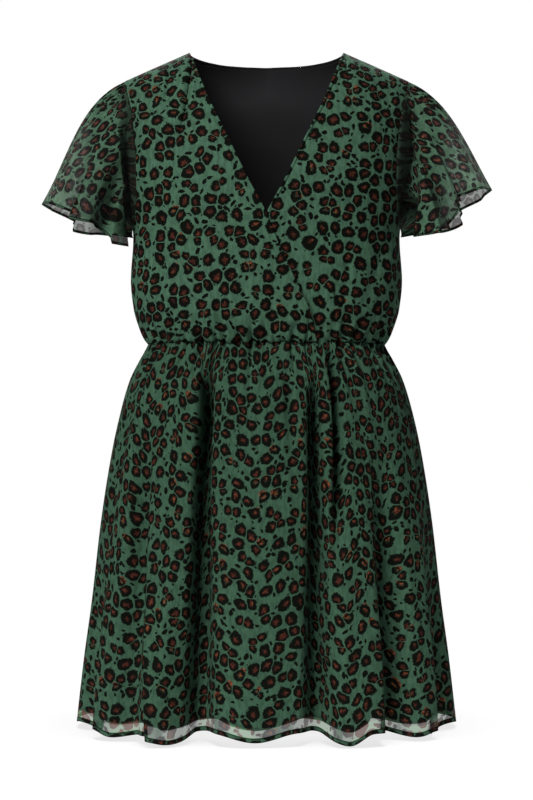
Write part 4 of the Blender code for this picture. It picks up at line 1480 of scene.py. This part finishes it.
def placed(name, data, place=(0, 0, 0), turn=(0, 0, 0)):
    """A thing of the studio, turned by some degrees."""
    thing = bpy.data.objects.new(name, data)
    thing.location = place
    thing.rotation_euler = Euler([math.radians(a) for a in turn])
    bpy.context.scene.collection.objects.link(thing)
    return thing


def sun(name, turn, energy, softness, lit):
    """Soft, even light on one collection alone; turn and softness are in degrees."""
    light = bpy.data.lights.new(name, "SUN")
    light.energy = energy
    light.angle = math.radians(softness)
    placed(name, light, turn=turn).light_linking.receiver_collection = lit


def studio():
    """A white floor and surround, soft lights, and the camera in front."""
    data = bpy.data.meshes.new("floor")
    corners = [(-0.9, -0.8), (0.9, -0.8), (0.9, 0.7), (-0.9, 0.7)]
    data.from_pydata([(x, y, FLOOR_Z) for x, y in corners], [], [(0, 1, 2, 3)])
    floor = placed("floor", data)
    white = Graph(
        "white_floor", Roughness=0.9, Emission_Color=(1, 1, 1, 1),
        Emission_Strength=FLOOR_GLOW,
    )
    speck = white.noise(white.node("TexCoord")["Object"], 3, 2)
    tone = white.blend(speck, (0.24, 0.24, 0.24, 1), (0.26, 0.26, 0.26, 1))
    data.materials.append(white.shade(Base_Color=tone))

    world = bpy.data.worlds.new("white_studio")
    bpy.context.scene.world = world
    world.use_nodes = True
    tree = world.node_tree
    ground = tree.nodes["Background"]
    ground.inputs["Color"].default_value = (1, 1, 1, 1)
    path = tree.nodes.new("ShaderNodeLightPath")
    level = tree.nodes.new("ShaderNodeMapRange")
    level.inputs["To Min"].default_value = AMBIENT
    level.inputs["To Max"].default_value = 1
    tree.links.new(path.outputs["Is Camera Ray"], level.inputs["Value"])
    tree.links.new(level.outputs[0], ground.inputs["Strength"])

    floor_alone = bpy.data.collections.new("lit_from_above")
    floor_alone.objects.link(floor)
    sun("key", (54, 0, -30), KEY_LIGHT, 28, collection)
    sun("back_light", (-52, 0, 0), BACK_LIGHT, 28, collection)
    sun("floor_light", (3, 0, 0), FLOOR_LIGHT, 26, floor_alone)
    under = bpy.data.lights.new("under_skirt", "AREA")
    under.shape = "ELLIPSE"
    under.size = 0.40
    under.size_y = 0.24
    under.energy = UNDER_LIGHT
    placed("under_skirt", under, (0, 0, HEM_Z + 0.075))

    lens = bpy.data.cameras.new("camera")
    lens.sensor_fit = "VERTICAL"
    lens.sensor_height = SENSOR
    lens.lens = SENSOR * CAMERA_DISTANCE / PHOTO_HEIGHT
    camera = placed("camera", lens, (0, -CAMERA_DISTANCE, CAMERA_HEIGHT), (90, 0, 0))
    bpy.context.scene.camera = camera
    bpy.context.scene.view_settings.view_transform = "Standard"


studio()
